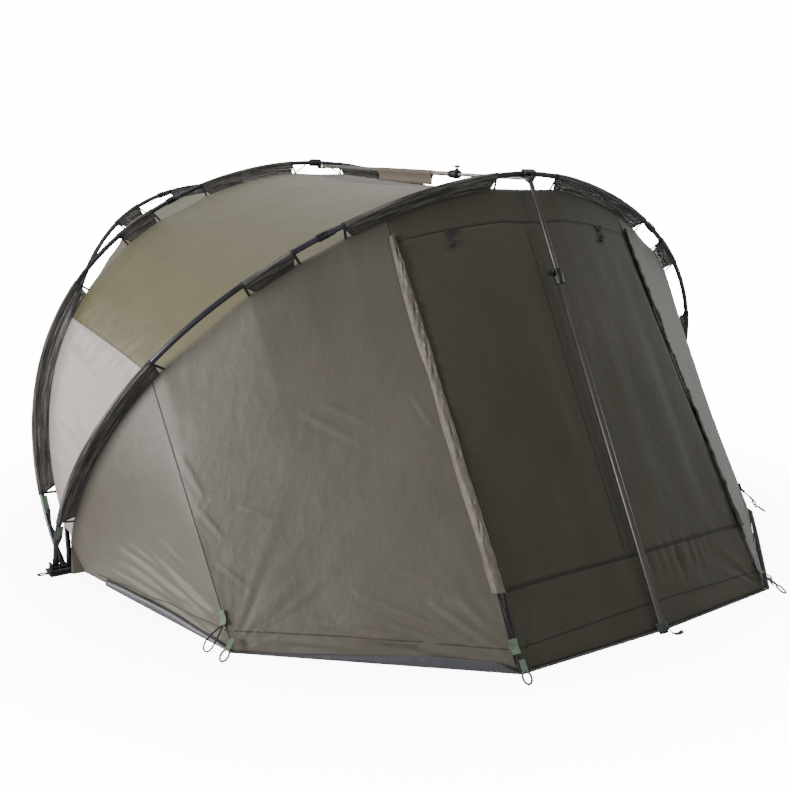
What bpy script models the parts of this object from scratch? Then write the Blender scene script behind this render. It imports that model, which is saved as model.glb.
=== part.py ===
"""A pram-hood bivvy tent: three ribs that fan from two ground hubs, with the cloth between them."""

import math

import bmesh
import bpy
from mathutils import Matrix, Vector

# Driving sizes in metres and degrees. The front faces -Y, and the tent is alike left and right.
HUB_SPACING = 2.88
HUB_AXIS_HEIGHT = 0.022
FOOT_PITCH = 0.024
POLE_RADIUS = 0.009
FERRULE_RADIUS = 0.0118
FERRULE_LENGTH = 0.055
POLE_JOINT_GAP = 0.0005
POLE_END_LAND = 0.008

# Each rib lies in a plane through the hub axis. Half of it is one cubic curve, from foot to apex.
FRONT_LEAN = 29.0
FRONT_REACH = 1.553
FRONT_SHOULDER = 1.02
FRONT_SWELL = 0.092
FRONT_CROWN = 0.546
MIDDLE_LEAN = -28.5
MIDDLE_REACH = 1.62
MIDDLE_SHOULDER = 1.22
MIDDLE_SWELL = 0.219
MIDDLE_CROWN = 0.508
REAR_LEAN = -44.0
REAR_REACH = 1.841
REAR_SHOULDER = 1.935
REAR_SWELL = -0.257
REAR_CROWN = 0.474

# Half a rib is divided into this many bays, counted from the apex. Poles and sleeves share
# their dividing points, so that the flat facets of one never cut into the other.
BAYS = 26
FERRULE_BAY = 10
LOWER_SLEEVE_BAYS = (24, 17)
MIDDLE_LOWER_SLEEVE_BAYS = (24, 16)
TAB_SLEEVE_BAYS = (13, 11)
TOP_SLEEVE_BAYS = (9, 2)
MIDDLE_TOP_SLEEVE_BAYS = (8, 2)
REAR_LOWER_SLEEVE_BAYS = (24, 19)
REAR_TAB_SLEEVE_BAYS = (14, 12)
REAR_TOP_SLEEVE_BAY = 9
HEM_START_SHARE = 0.965
SIDE_CORNER_SHARE = 0.675
ZIP_SHARE = 0.25

# Where the hem meets the ground: half widths from the middle, and distances from the hub axis.
SIDE_PEG_INSET = 0.268
SIDE_PEG_Y = 0.88
FRONT_PEG_X = 0.541
FRONT_PEG_Y = 1.425
FRONT_MIDDLE_Y = 1.447
REAR_SIDE_INSET = 0.31
REAR_SIDE_Y = 0.84
REAR_PEG_X = 0.56
REAR_PEG_Y = 1.40
REAR_MIDDLE_Y = 1.43
HUB_HEM_INSET = 0.062
HUB_HEM_AHEAD = 0.058

# Cloth: in the model it is thicker than the real cloth, so that it holds things out.
CLOTH = 0.002
SLEEVE_CLOTH = 0.0012
SLEEVE_DEPTH = 0.048
SLEEVE_CLEARANCE = 0.0004
SEAM_GAP = 0.00035
BACK_SEAM_GAP = 0.004
EDGE_CLEARANCE = 0.004
TOUCH_GAP = 0.0003
ROOF_SAG = 0.02
REAR_SAG = 0.012
BACK_SAG = 0.02
SIDE_SAG = 0.012
FRONT_SAG = 0.008
HEAD_SEAM_SHARE = 0.068
SILL_SEAM_SHARE = 0.845

# Groundsheet
SHEET_THICKNESS = 0.002
SHEET_MARGIN = 0.013

# Zip covers and sliders
FLAP_OVER_SIDE = 0.031
FLAP_OVER_DOOR = 0.013
FLAP_FOLD = 0.011
FLAP_RISE = 0.0155
FLAP_CLOTH = 0.0014
FLAP_START = 0.03
SLIDER_LENGTH = 0.018
SLIDER_WIDTH = 0.010
SLIDER_THICKNESS = 0.0055
SLIDER_STAND_OFF = 0.0022
KEEL_WIDTH = 0.003
KEEL_GAP = 0.0005
PULLER_LENGTH = 0.036
PULLER_WIDTH = 0.007
PULLER_THICKNESS = 0.0026

# Hub blocks: a base, two cheeks and a pin that carries the three knuckles of a side.
HUB_BASE_LENGTH = 0.106
HUB_BASE_WIDTH = 0.084
HUB_BASE_HEIGHT = 0.006
HUB_CHEEK_THICKNESS = 0.008
HUB_CHEEK_WIDTH = 0.036
HUB_CHEEK_OVER_PIN = 0.015
HUB_CLEARANCE = 0.0026
KNUCKLE_RADIUS = 0.0125
KNUCKLE_LENGTH = 0.02
PIN_RADIUS = 0.004
PIN_HEAD_RADIUS = 0.0075
PIN_HEAD_HEIGHT = 0.002
RING_LENGTH = 0.044
RING_WIDTH = 0.024
RING_WIRE = 0.0028

# Apex blocks: the storm pole and the tension bar stand side by side on the front one.
BLOCK_LENGTH = 0.056
BLOCK_WIDTH = 0.028
BLOCK_HEIGHT = 0.026
BLOCK_ROUNDING = 0.004
STORM_POLE_X = -0.014
BAR_X = 0.0205

# Storm pole, from its pivot on the front apex block to the ground
STORM_PIVOT_AHEAD = 0.030
STORM_PIVOT_BELOW = 0.004
STORM_FOOT_Y = 1.478
STORM_UPPER_RADIUS = 0.008
STORM_LOWER_RADIUS = 0.012
STORM_LOWER_BORE = 0.0096
STORM_SHOWN_LENGTH = 0.35
STORM_INSERT_LENGTH = 0.18
STORM_FOOT_LENGTH = 0.034
STORM_FOOT_RADIUS = 0.0145
CLEVIS_PLATE = 0.005
CLEVIS_WIDTH = 0.020
STORM_EYE_RADIUS = 0.0095
STORM_EYE_LENGTH = 0.013
EYE_PIN_RADIUS = 0.003

# Clamps: a tapered collar on the outer tube, with a boss for its thumb screw
CLAMP_LENGTH = 0.052
CLAMP_TOP_RADIUS = 0.0165
CLAMP_TAIL_RADIUS = 0.0145
CLAMP_LAP = 0.028
CLAMP_BOSS_RADIUS = 0.007
CLAMP_BOSS_REACH = 0.021
KNOB_RADIUS = 0.0105
KNOB_THICKNESS = 0.009
KNOB_STEM_RADIUS = 0.0035
KNOB_STEM_LENGTH = 0.003
KNOB_LOBES = 5
KNOB_LOBE_DEPTH = 0.0016

# Tension bar, from the middle apex block to the front one
BAR_REAR_AHEAD = 0.039
BAR_REAR_BELOW = 0.016
BAR_FRONT_BEHIND = 0.038
BAR_FRONT_BELOW = 0.0145
BAR_OUTER_RADIUS = 0.0085
BAR_OUTER_BORE = 0.0069
BAR_INNER_RADIUS = 0.0062
BAR_CLAMP_PLACE = 1.04
BAR_INSERT_LENGTH = 0.14
BAR_EYE_RADIUS = 0.0115
BAR_EYE_HEIGHT = 0.013
BAR_TONGUE_LENGTH = 0.046
BAR_PAD_LENGTH = 0.034
BAR_TONGUE_WIDTH = 0.014
BAR_TONGUE_THICKNESS = 0.006
BAR_PAD_THICKNESS = 0.006
WRAP_START = 0.5
WRAP_LENGTH = 0.39
WRAP_DEPTH = 0.0455
WRAP_CLOTH = 0.0016

# Peg points: a webbing tab, an elastic cord and an oval ring
TAB_WIDTH = 0.027
TAB_LENGTH = 0.05
TAB_THICKNESS = 0.0025
CORD_RADIUS = 0.002
PEG_REACH = 0.052
SIDE_TAB_HEIGHT = 0.085
FRONT_TAB_HEIGHT = 0.062
FOOT_LOOP_WIDTH = 0.024

# How finely curves are divided
CLOTH_ROWS = 8

FINISHES = {
    "pole": ((0.028, 0.029, 0.032), 0.35, 0.9),
    "mesh": ((0.05, 0.052, 0.045), 0.85, 0.0),
    "roof": ((0.24, 0.225, 0.17), 0.8, 0.0),
    "front": ((0.045, 0.042, 0.032), 0.8, 0.0),
    "side": ((0.17, 0.15, 0.13), 0.8, 0.0),
    "flap": ((0.2, 0.175, 0.14), 0.8, 0.0),
    "sheet": ((0.16, 0.16, 0.16), 0.45, 0.0),
    "plastic": ((0.02, 0.02, 0.021), 0.45, 0.0),
    "alloy": ((0.3, 0.29, 0.28), 0.35, 0.9),
    "rubber": ((0.015, 0.015, 0.015), 0.85, 0.0),
    "webbing": ((0.16, 0.24, 0.17), 0.85, 0.0),
}

TENT = bpy.data.collections.new("bivvy_tent")
CUTTERS = bpy.data.collections.new("cutters")
ACROSS = Vector((1, 0, 0))
UP = Vector((0, 0, 1))


class Rib:
    """One rib: where its feet stand on the hub axis, how far it leans, and its half curve."""

    def __init__(self, foot, lean, reach, shoulder, swell, crown):
        turn = math.radians(lean)
        self.foot = foot
        self.radial = Vector((0, -math.sin(turn), math.cos(turn)))
        self.back = Vector((0, math.cos(turn), math.sin(turn)))
        self.corners = (
            Vector((foot, 0)),
            Vector((foot + swell, shoulder)),
            Vector((crown, reach)),
            Vector((0, reach)),
        )

    def point(self, place, inset=0.0, ahead=0.0):
        """The point at a place from -1, the left foot, to 1, moved inwards or ahead of the rib."""
        share = 1 - abs(place)
        rest = 1 - share
        a, b, c, d = self.corners
        flat = rest**3 * a + 3 * rest**2 * share * b + 3 * rest * share**2 * c + share**3 * d
        along = rest**2 * (b - a) + 2 * rest * share * (c - b) + share**2 * (d - c)
        along.normalize()
        flat += inset * Vector((-along.y, along.x))
        x = -flat.x if place < 0 else flat.x
        return ACROSS * x + self.radial * flat.y - self.back * ahead + UP * HUB_AXIS_HEIGHT

    def frame(self):
        """A frame at the apex: X across, Y to the rear along the fold, Z away from the hub axis."""
        turned = Matrix((ACROSS, self.back, self.radial)).transposed().to_4x4()
        return Matrix.Translation(self.point(0)) @ turned


def new_collections():
    for obj in list(bpy.data.objects):
        bpy.data.objects.remove(obj)
    for collection in (TENT, CUTTERS):
        bpy.context.scene.collection.children.link(collection)
    CUTTERS.hide_render = True


def give_material(obj, finish):
    colour, roughness, metallic = FINISHES[finish]
    material = bpy.data.materials.new(f"{obj.name}_{finish}")
    material.use_nodes = True
    shader = material.node_tree.nodes["Principled BSDF"]
    shader.inputs["Base Color"].default_value = (*colour, 1)
    shader.inputs["Roughness"].default_value = roughness
    shader.inputs["Metallic"].default_value = metallic
    obj.data.materials.clear()
    obj.data.materials.append(material)


def add_object(name, data, finish, matrix=None):
    """A piece of the tent, or a cutter or joined shape where finish is None."""
    obj = bpy.data.objects.new(name, data)
    if matrix is not None:
        obj.matrix_world = matrix
    if finish is None:
        CUTTERS.objects.link(obj)
        obj.hide_render = True
        obj.display_type = "WIRE"
    else:
        TENT.objects.link(obj)
        give_material(obj, finish)
    return obj


def smooth(mesh):
    mesh.shade_smooth()
    mesh.set_sharp_from_angle(angle=math.radians(35))


def frame_at(origin, z_axis, x_axis=None):
    """A matrix at origin with its Z along z_axis and its X as near x_axis as it can be."""
    z = z_axis.normalized()
    x = (x_axis or ACROSS) - (x_axis or ACROSS).dot(z) * z
    x.normalize()
    turned = Matrix((x, z.cross(x), z)).transposed().to_4x4()
    return Matrix.Translation(origin) @ turned


def box(name, size, matrix, finish=None, rounding=0.0):
    mesh = bpy.data.meshes.new(name)
    shape = bmesh.new()
    bmesh.ops.create_cube(shape, size=1, matrix=Matrix.Diagonal((*size, 1)))
    shape.to_mesh(mesh)
    shape.free()
    obj = add_object(name, mesh, finish, matrix)
    if rounding:
        bevel = obj.modifiers.new("rounded edges", "BEVEL")
        bevel.width = rounding
        bevel.segments = 2
    return obj


def rod(name, radius, length, matrix, finish=None, sides=16):
    """A cylinder whose middle is at the matrix, along its Z."""
    mesh = bpy.data.meshes.new(name)
    shape = bmesh.new()
    bmesh.ops.create_cone(
        shape, cap_ends=True, segments=sides, radius1=radius, radius2=radius, depth=length
    )
    shape.to_mesh(mesh)
    shape.free()
    smooth(mesh)
    return add_object(name, mesh, finish, matrix)


def turned(name, profile, matrix, finish=None, steps=16):
    """A shape turned about the matrix's Z from (radius, height) points, given top to bottom."""
    mesh = bpy.data.meshes.new(name)
    shape = bmesh.new()
    points = [shape.verts.new((radius, 0, height)) for radius, height in profile]
    for first, second in zip(points, points[1:]):
        shape.edges.new((first, second))
    if profile[0][0] > 0:
        shape.edges.new((points[-1], points[0]))
    shape.to_mesh(mesh)
    shape.free()
    obj = add_object(name, mesh, finish, matrix)
    screw = obj.modifiers.new("turned", "SCREW")
    screw.steps = steps
    screw.render_steps = steps
    screw.use_merge_vertices = True
    screw.merge_threshold = 0.00001
    screw.use_smooth_shade = False
    return obj


def tube(name, points, radius, finish=None, swells=None, resolution=2, closed=False):
    """A tube along points. swells gives each point's radius as a multiple of the tube's."""
    curve = bpy.data.curves.new(name, "CURVE")
    curve.dimensions = "3D"
    curve.bevel_depth = radius
    curve.bevel_resolution = resolution
    curve.use_fill_caps = True
    spline = curve.splines.new("POLY")
    spline.points.add(len(points) - 1)
    spline.use_cyclic_u = closed
    spline.use_smooth = True
    for i, point in enumerate(points):
        spline.points[i].co = (*point, 1)
        spline.points[i].radius = swells[i] if swells else 1
    return add_object(name, curve, finish)


def as_mesh(obj, finish=None):
    """The curve object made a closed mesh, so that it can be cut or joined."""
    graph = bpy.context.evaluated_depsgraph_get()
    mesh = bpy.data.meshes.new_from_object(obj.evaluated_get(graph))
    shape = bmesh.new()
    shape.from_mesh(mesh)
    bmesh.ops.remove_doubles(shape, verts=shape.verts, dist=0.00001)
    shape.to_mesh(mesh)
    shape.free()
    smooth(mesh)
    name = obj.name
    matrix = obj.matrix_world.copy()
    bpy.data.objects.remove(obj)
    return add_object(name, mesh, finish, matrix)


def combine(obj, other, operation):
    step = obj.modifiers.new(f"{operation.lower()} {other.name}", "BOOLEAN")
    step.object = other
    step.operation = operation
    return obj


def between(start, end, share):
    return start + (end - start) * share


def steps(start, end, count):
    return [start + (end - start) * i / count for i in range(count + 1)]


def shell(name, rows, thickness, finish, outward, sharp=False):
    """Open cloth over a grid of points, thickened on the side that outward(point) points to."""
    mesh = bpy.data.meshes.new(name)
    shape = bmesh.new()
    grid = [[shape.verts.new(point) for point in row] for row in rows]
    for first, second in zip(grid, grid[1:]):
        for i in range(len(first) - 1):
            shape.faces.new((first[i], first[i + 1], second[i + 1], second[i]))
    shape.normal_update()
    faces = list(shape.faces)
    facing = sum(face.normal.dot(outward(face.calc_center_median())) for face in faces)
    if facing < 0:
        bmesh.ops.reverse_faces(shape, faces=faces)
    shape.to_mesh(mesh)
    shape.free()
    if not sharp:
        smooth(mesh)
    obj = add_object(name, mesh, finish)
    solidify = obj.modifiers.new("cloth", "SOLIDIFY")
    solidify.thickness = thickness
    solidify.offset = 1
    return obj


def from_inside(point):
    """Outwards for the cloth: away from the middle of the floor."""
    return point - UP * HUB_AXIS_HEIGHT


HALF = HUB_SPACING / 2
FRONT = Rib(
    HALF + FOOT_PITCH, FRONT_LEAN, FRONT_REACH, FRONT_SHOULDER, FRONT_SWELL, FRONT_CROWN
)
MIDDLE = Rib(HALF, MIDDLE_LEAN, MIDDLE_REACH, MIDDLE_SHOULDER, MIDDLE_SWELL, MIDDLE_CROWN)
REAR = Rib(HALF - FOOT_PITCH, REAR_LEAN, REAR_REACH, REAR_SHOULDER, REAR_SWELL, REAR_CROWN)
EDGE_INSET = SLEEVE_DEPTH + EDGE_CLEARANCE
HEM_HEIGHT = SHEET_THICKNESS + TOUCH_GAP


def side_name(side):
    return "left" if side < 0 else "right"


def bay_places(start, end, stride=1):
    """Places from one bay's end to another's, negative on the left."""
    way = stride if end > start else -stride
    bays = list(range(start, end, way)) + [end]
    return [bay / BAYS for bay in bays]


def share_of(rib, place, length):
    """A length along the rib at a place, as a share of its curve."""
    reach = 0.01
    return reach * length / (rib.point(place + reach) - rib.point(place)).length


def add_poles(name, rib):
    """Two side poles with a knuckle at the foot, and a top pole with a ferrule at each end."""
    end = FERRULE_BAY / BAYS
    swage = share_of(rib, end, FERRULE_LENGTH)
    land = share_of(rib, end, POLE_END_LAND)
    ferrule = [end - swage - swage / 20, end - swage, end - land, end]
    places = [-place for place in reversed(ferrule)]
    places += bay_places(1 - FERRULE_BAY, FERRULE_BAY - 1) + ferrule
    wide = FERRULE_RADIUS / POLE_RADIUS
    swells = [wide] * 3 + [1] * (len(places) - 6) + [wide] * 3
    tube(f"{name}_pole_top", [rib.point(p) for p in places], POLE_RADIUS, "pole", swells)
    gap = share_of(rib, end, POLE_JOINT_GAP)
    for side in (-1, 1):
        places = bay_places(side * BAYS, side * FERRULE_BAY)[:-1]
        places += [side * (end + gap + land), side * (end + gap)]
        points = [rib.point(p) for p in places]
        pole = as_mesh(tube(f"{name}_pole_{side_name(side)}", points, POLE_RADIUS), "pole")
        foot = ACROSS * side * rib.foot + UP * HUB_AXIS_HEIGHT
        eye = rod(f"{pole.name}_knuckle", KNUCKLE_RADIUS, KNUCKLE_LENGTH, frame_at(foot, ACROSS, UP))
        bore = rod(
            f"{pole.name}_bore", PIN_RADIUS + TOUCH_GAP, 2 * KNUCKLE_LENGTH, frame_at(foot, ACROSS, UP)
        )
        combine(pole, eye, "UNION")
        combine(pole, bore, "DIFFERENCE")


def fold_profile(radius, depth, count):
    """Cloth folded round a rod, as (depth, sideways) points: tail, most of a turn, tail."""
    spread = math.radians(260)
    flat = (radius + SLEEVE_CLEARANCE) / math.cos(spread / (count - 1) / 2)
    turns = [math.pi - spread / 2 + spread * i / (count - 1) for i in range(count)]
    around = [(flat * math.cos(turn), flat * math.sin(turn)) for turn in turns]
    return [(depth, SLEEVE_CLEARANCE)] + around + [(depth, -SLEEVE_CLEARANCE)]


def add_sleeve(name, rib, start, end):
    """Mesh cloth folded round the pole, sewn into a tail that carries the tent."""
    places = bay_places(start, end)
    profile = fold_profile(POLE_RADIUS, SLEEVE_DEPTH, 6)
    rows = [[rib.point(p, inset, ahead) for inset, ahead in profile] for p in places]
    middles = [rib.point(p, SLEEVE_DEPTH / 2) for p in places]

    def from_pole(point):
        return point - min(middles, key=lambda middle: (middle - point).length)

    shell(name, rows, SLEEVE_CLOTH, "mesh", from_pole)


def add_sleeves():
    for name, rib, lower, top in (
        ("front", FRONT, LOWER_SLEEVE_BAYS, TOP_SLEEVE_BAYS),
        ("middle", MIDDLE, MIDDLE_LOWER_SLEEVE_BAYS, MIDDLE_TOP_SLEEVE_BAYS),
    ):
        for part, (outer, inner) in (("lower", lower), ("tab", TAB_SLEEVE_BAYS), ("top", top)):
            for side in (-1, 1):
                add_sleeve(
                    f"{name}_{part}_sleeve_{side_name(side)}", rib, side * outer, side * inner
                )
    for part, (outer, inner) in (("lower", REAR_LOWER_SLEEVE_BAYS), ("tab", REAR_TAB_SLEEVE_BAYS)):
        for side in (-1, 1):
            add_sleeve(f"rear_{part}_sleeve_{side_name(side)}", REAR, side * outer, side * inner)
    add_sleeve("rear_top_sleeve", REAR, -REAR_TOP_SLEEVE_BAY, REAR_TOP_SLEEVE_BAY)


def ground_point(place, corners):
    """The hem's point on the ground under a place on the rib, along straight runs of corners."""
    share = abs(place)
    x, y = corners[-1][1:]
    for (outer, x0, y0), (inner, x1, y1) in zip(corners, corners[1:]):
        if inner <= share <= outer:
            part = (outer - share) / (outer - inner)
            x = x0 + (x1 - x0) * part
            y = y0 + (y1 - y0) * part
            break
    return Vector((-x if place < 0 else x, y, HEM_HEIGHT))


HUB_HEM_X = HALF - HUB_HEM_INSET
SIDE_PEG_X = HALF - SIDE_PEG_INSET
REAR_SIDE_X = HALF - REAR_SIDE_INSET
FRONT_GROUND = (
    (HEM_START_SHARE, HUB_HEM_X, -HUB_HEM_AHEAD),
    (SIDE_CORNER_SHARE, SIDE_PEG_X, -SIDE_PEG_Y),
    (ZIP_SHARE, FRONT_PEG_X, -FRONT_PEG_Y),
    (0, 0, -FRONT_MIDDLE_Y),
)
REAR_GROUND = (
    (HEM_START_SHARE, HUB_HEM_X, HUB_HEM_AHEAD),
    (SIDE_CORNER_SHARE, REAR_SIDE_X, REAR_SIDE_Y),
    (ZIP_SHARE, REAR_PEG_X, REAR_PEG_Y),
    (0, 0, REAR_MIDDLE_Y),
)


def hollow(place, corners):
    """From 0 at each upright crease to 1 midway between two of them."""
    share = abs(place)
    for (outer, _, _), (inner, _, _) in zip(corners, corners[1:]):
        if inner <= share <= outer and inner > 0:
            return math.sin(math.pi * (share - inner) / (outer - inner))
    return math.cos(math.pi * share / (2 * ZIP_SHARE)) if share < ZIP_SHARE else 0.0


def wall_point(rib, place, share, corners, sag, lift=0.0, seam=SEAM_GAP):
    """A point of the cloth between a rib's inner edge, at share 0, and the ground, at share 1."""
    top = rib.point(place, EDGE_INSET)
    foot = ground_point(place, corners)
    gap = seam / (foot - top).length
    share = gap + share * (1 - gap)
    point = between(top, foot, share)
    nudge = 0.001
    beside = between(
        rib.point(place + nudge, EDGE_INSET), ground_point(place + nudge, corners), share
    )
    normal = (beside - point).cross(foot - top).normalized()
    if normal.dot(from_inside(point)) < 0:
        normal.negate()
    depth = sag * math.sin(math.pi * share) * hollow(place, corners)
    return point + normal * (lift - depth)


def front_point(place, share, sag=FRONT_SAG, lift=0.0):
    return wall_point(FRONT, place, share, FRONT_GROUND, sag, lift)


def seam_places(start, end, count, creases):
    """Places from start to end with the nearest of them moved onto each crease."""
    places = steps(start, end, count)
    for crease in creases:
        nearest = min(range(1, count), key=lambda i: abs(places[i] - crease))
        if min(start, end) < crease < max(start, end):
            places[nearest] = crease
    return places


def add_wall(name, finish, make_point, places, shares):
    rows = [[make_point(p, s) for s in shares] for p in places]
    return shell(name, rows, CLOTH, finish, from_inside)


def add_front_walls():
    gap = share_of(FRONT, ZIP_SHARE, SEAM_GAP)
    for side in (-1, 1):
        places = seam_places(
            side * HEM_START_SHARE, side * (ZIP_SHARE + gap), 12, [side * SIDE_CORNER_SHARE]
        )
        add_wall(
            f"side_panel_{side_name(side)}",
            "side",
            lambda p, s: front_point(p, s, SIDE_SAG),
            places,
            steps(0, 1, CLOTH_ROWS),
        )
    edge = ZIP_SHARE - gap
    length = (front_point(0, 1) - front_point(0, 0)).length
    seam = SEAM_GAP / length
    across = steps(-edge, edge, 12)
    add_wall("front_head_panel", "front", front_point, across, (0, HEAD_SEAM_SHARE - seam))
    door_shares = steps(HEAD_SEAM_SHARE + seam, SILL_SEAM_SHARE - seam, CLOTH_ROWS)
    add_wall("door_panel", "front", front_point, across, door_shares)
    add_wall("front_sill_panel", "front", front_point, across, (SILL_SEAM_SHARE + seam, 0.92, 1))


def roof_point(first, second, place, share, sag):
    """A point of the cloth between two ribs' inner edges."""
    start = first.point(place, EDGE_INSET)
    end = second.point(place, EDGE_INSET)
    gap = SEAM_GAP / (end - start).length
    point = between(start, end, gap + share * (1 - 2 * gap))
    down = (first.radial + second.radial).normalized()
    inward = -down * math.cos(place * math.pi / 2) - ACROSS * math.sin(place * math.pi / 2)
    spread = min(1.0, (end - start).length / sag / 12)
    return point + inward * sag * spread * math.sin(math.pi * share)


def add_roofs():
    places = [-HEM_START_SHARE] + bay_places(2 - BAYS, BAYS - 2, 2) + [HEM_START_SHARE]
    rows = [
        [roof_point(FRONT, MIDDLE, p, s, ROOF_SAG) for s in steps(0, 1, CLOTH_ROWS)] for p in places
    ]
    shell("roof_panel", rows, CLOTH, "roof", from_inside)
    rows = [[roof_point(MIDDLE, REAR, p, s, REAR_SAG) for s in steps(0, 1, 4)] for p in places]
    shell("rear_roof_panel", rows, CLOTH, "roof", from_inside)
    creases = [side * share for side in (-1, 1) for share in (SIDE_CORNER_SHARE, ZIP_SHARE)]
    places = list(places)
    for crease in creases:
        nearest = min(range(len(places)), key=lambda i: abs(places[i] - crease))
        places[nearest] = crease
    add_wall(
        "back_panel",
        "side",
        lambda p, s: wall_point(REAR, p, s, REAR_GROUND, BACK_SAG, seam=BACK_SEAM_GAP),
        places,
        steps(0, 1, 6),
    )


def add_groundsheet():
    """One flat sheet, a little wider than the hem, with its corners cut off at the hub blocks."""
    corners = []
    for ground in (FRONT_GROUND, tuple(reversed(REAR_GROUND))):
        corners += [Vector((-x, y)) for _, x, y in ground]
    corners = corners[:-1] + [corners[-1]]
    left = [c for c in corners if c.x < 0]
    middles = [Vector((0, -FRONT_MIDDLE_Y)), Vector((0, REAR_MIDDLE_Y))]
    outline = left[:3] + [middles[0]]
    outline += [Vector((-c.x, c.y)) for c in reversed(left[:3])]
    outline += [Vector((-c.x, c.y)) for c in reversed(left[3:])]
    outline += [middles[1]] + left[3:]
    wide = []
    for before, corner, after in zip(outline[-1:] + outline, outline, outline[1:] + outline[:1]):
        away = (corner - before).normalized() + (corner - after).normalized()
        hub_side = abs(corner.x) > SIDE_PEG_X + SHEET_MARGIN
        out = corner.normalized() if away.length < 0.05 else away.normalized()
        wide.append(corner if hub_side else corner + out * SHEET_MARGIN)
    curve = bpy.data.curves.new("groundsheet", "CURVE")
    curve.dimensions = "2D"
    curve.fill_mode = "BOTH"
    curve.extrude = SHEET_THICKNESS / 2
    spline = curve.splines.new("POLY")
    spline.points.add(len(wide) - 1)
    spline.use_cyclic_u = True
    for point, corner in zip(spline.points, wide):
        point.co = (corner.x, corner.y, 0, 1)
    add_object("groundsheet", curve, "sheet", Matrix.Translation(UP * SHEET_THICKNESS / 2))


def ring(name, matrix):
    """An oval wire ring, long along the matrix's X."""
    count = 14
    points = []
    for i in range(count):
        turn = 2 * math.pi * i / count
        x = math.cos(turn) * (RING_LENGTH / 2 - RING_WIRE)
        y = math.sin(turn) * (RING_WIDTH / 2 - RING_WIRE)
        points.append(matrix @ Vector((x, y, 0)))
    return as_mesh(tube(name, points, RING_WIRE, resolution=1, closed=True))


def add_hubs():
    span = FOOT_PITCH + KNUCKLE_LENGTH / 2 + HUB_CLEARANCE
    for side in (-1, 1):
        label = side_name(side)
        middle = ACROSS * side * HALF
        base = box(
            f"hub_block_{label}",
            (HUB_BASE_LENGTH, HUB_BASE_WIDTH, HUB_BASE_HEIGHT),
            Matrix.Translation(middle + UP * HUB_BASE_HEIGHT / 2),
            "plastic",
            HUB_BASE_HEIGHT / 4,
        )
        axis = middle + UP * HUB_AXIS_HEIGHT
        for end in (-1, 1):
            height = HUB_AXIS_HEIGHT + HUB_CHEEK_OVER_PIN - HUB_BASE_HEIGHT / 2
            centre = middle + ACROSS * end * (span + HUB_CHEEK_THICKNESS / 2)
            cheek = box(
                f"{base.name}_cheek_{end}",
                (HUB_CHEEK_THICKNESS, HUB_CHEEK_WIDTH, height),
                Matrix.Translation(centre + UP * (HUB_BASE_HEIGHT / 2 + height / 2)),
                None,
                HUB_CHEEK_THICKNESS / 4,
            )
            combine(base, cheek, "UNION")
        reach = HUB_BASE_LENGTH / 2 + RING_LENGTH / 2 - 2 * RING_WIRE
        lug = ring(
            f"{base.name}_ring",
            Matrix.Translation(middle + ACROSS * side * reach + UP * HUB_BASE_HEIGHT / 2),
        )
        combine(base, lug, "UNION")
        # The pin is riveted into both cheeks
        end = span + HUB_CHEEK_THICKNESS / 2
        head = span + HUB_CHEEK_THICKNESS + PIN_HEAD_HEIGHT
        profile = [(0, head), (PIN_HEAD_RADIUS, head), (PIN_HEAD_RADIUS, end), (PIN_RADIUS, end)]
        profile += [(radius, -height) for radius, height in reversed(profile)]
        pin = turned(f"{base.name}_pin", profile, frame_at(axis, ACROSS, UP), None, 12)
        combine(base, pin, "UNION")


def pole_cutter(name, rib):
    """The top pole's path through an apex block, with its clearance."""
    points = [rib.point(p) for p in bay_places(-1, 1)]
    wide = (POLE_RADIUS + TOUCH_GAP) / math.cos(math.pi / 12)
    return as_mesh(tube(name, points, wide, resolution=4))


STORM_TOP = (
    FRONT.point(0)
    - FRONT.back * STORM_PIVOT_AHEAD
    - FRONT.radial * STORM_PIVOT_BELOW
    + ACROSS * STORM_POLE_X
)
STORM_GROUND = Vector((STORM_POLE_X, -STORM_FOOT_Y, 0))
STORM_DOWN = (STORM_GROUND - STORM_TOP).normalized()
STORM_LENGTH = (STORM_GROUND - STORM_TOP).length
BAR_REAR = MIDDLE.point(0) + Vector((BAR_X, -BAR_REAR_AHEAD, -BAR_REAR_BELOW))
BAR_FRONT = FRONT.point(0) + Vector((BAR_X, BAR_FRONT_BEHIND, -BAR_FRONT_BELOW))
BAR_ALONG = (BAR_FRONT - BAR_REAR).normalized()
BAR_LENGTH = (BAR_FRONT - BAR_REAR).length
BAR_UP = ACROSS.cross(BAR_ALONG).normalized()
if BAR_UP.z < 0:
    BAR_UP.negate()


def storm_frame(distance):
    """A frame on the storm pole, this far from its pivot, with Z up the pole."""
    return frame_at(STORM_TOP + STORM_DOWN * distance, -STORM_DOWN)


def bar_frame(distance):
    """A frame on the tension bar, this far from its pivot, with Z back along the bar."""
    return frame_at(BAR_REAR + BAR_ALONG * distance, -BAR_ALONG)


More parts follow.
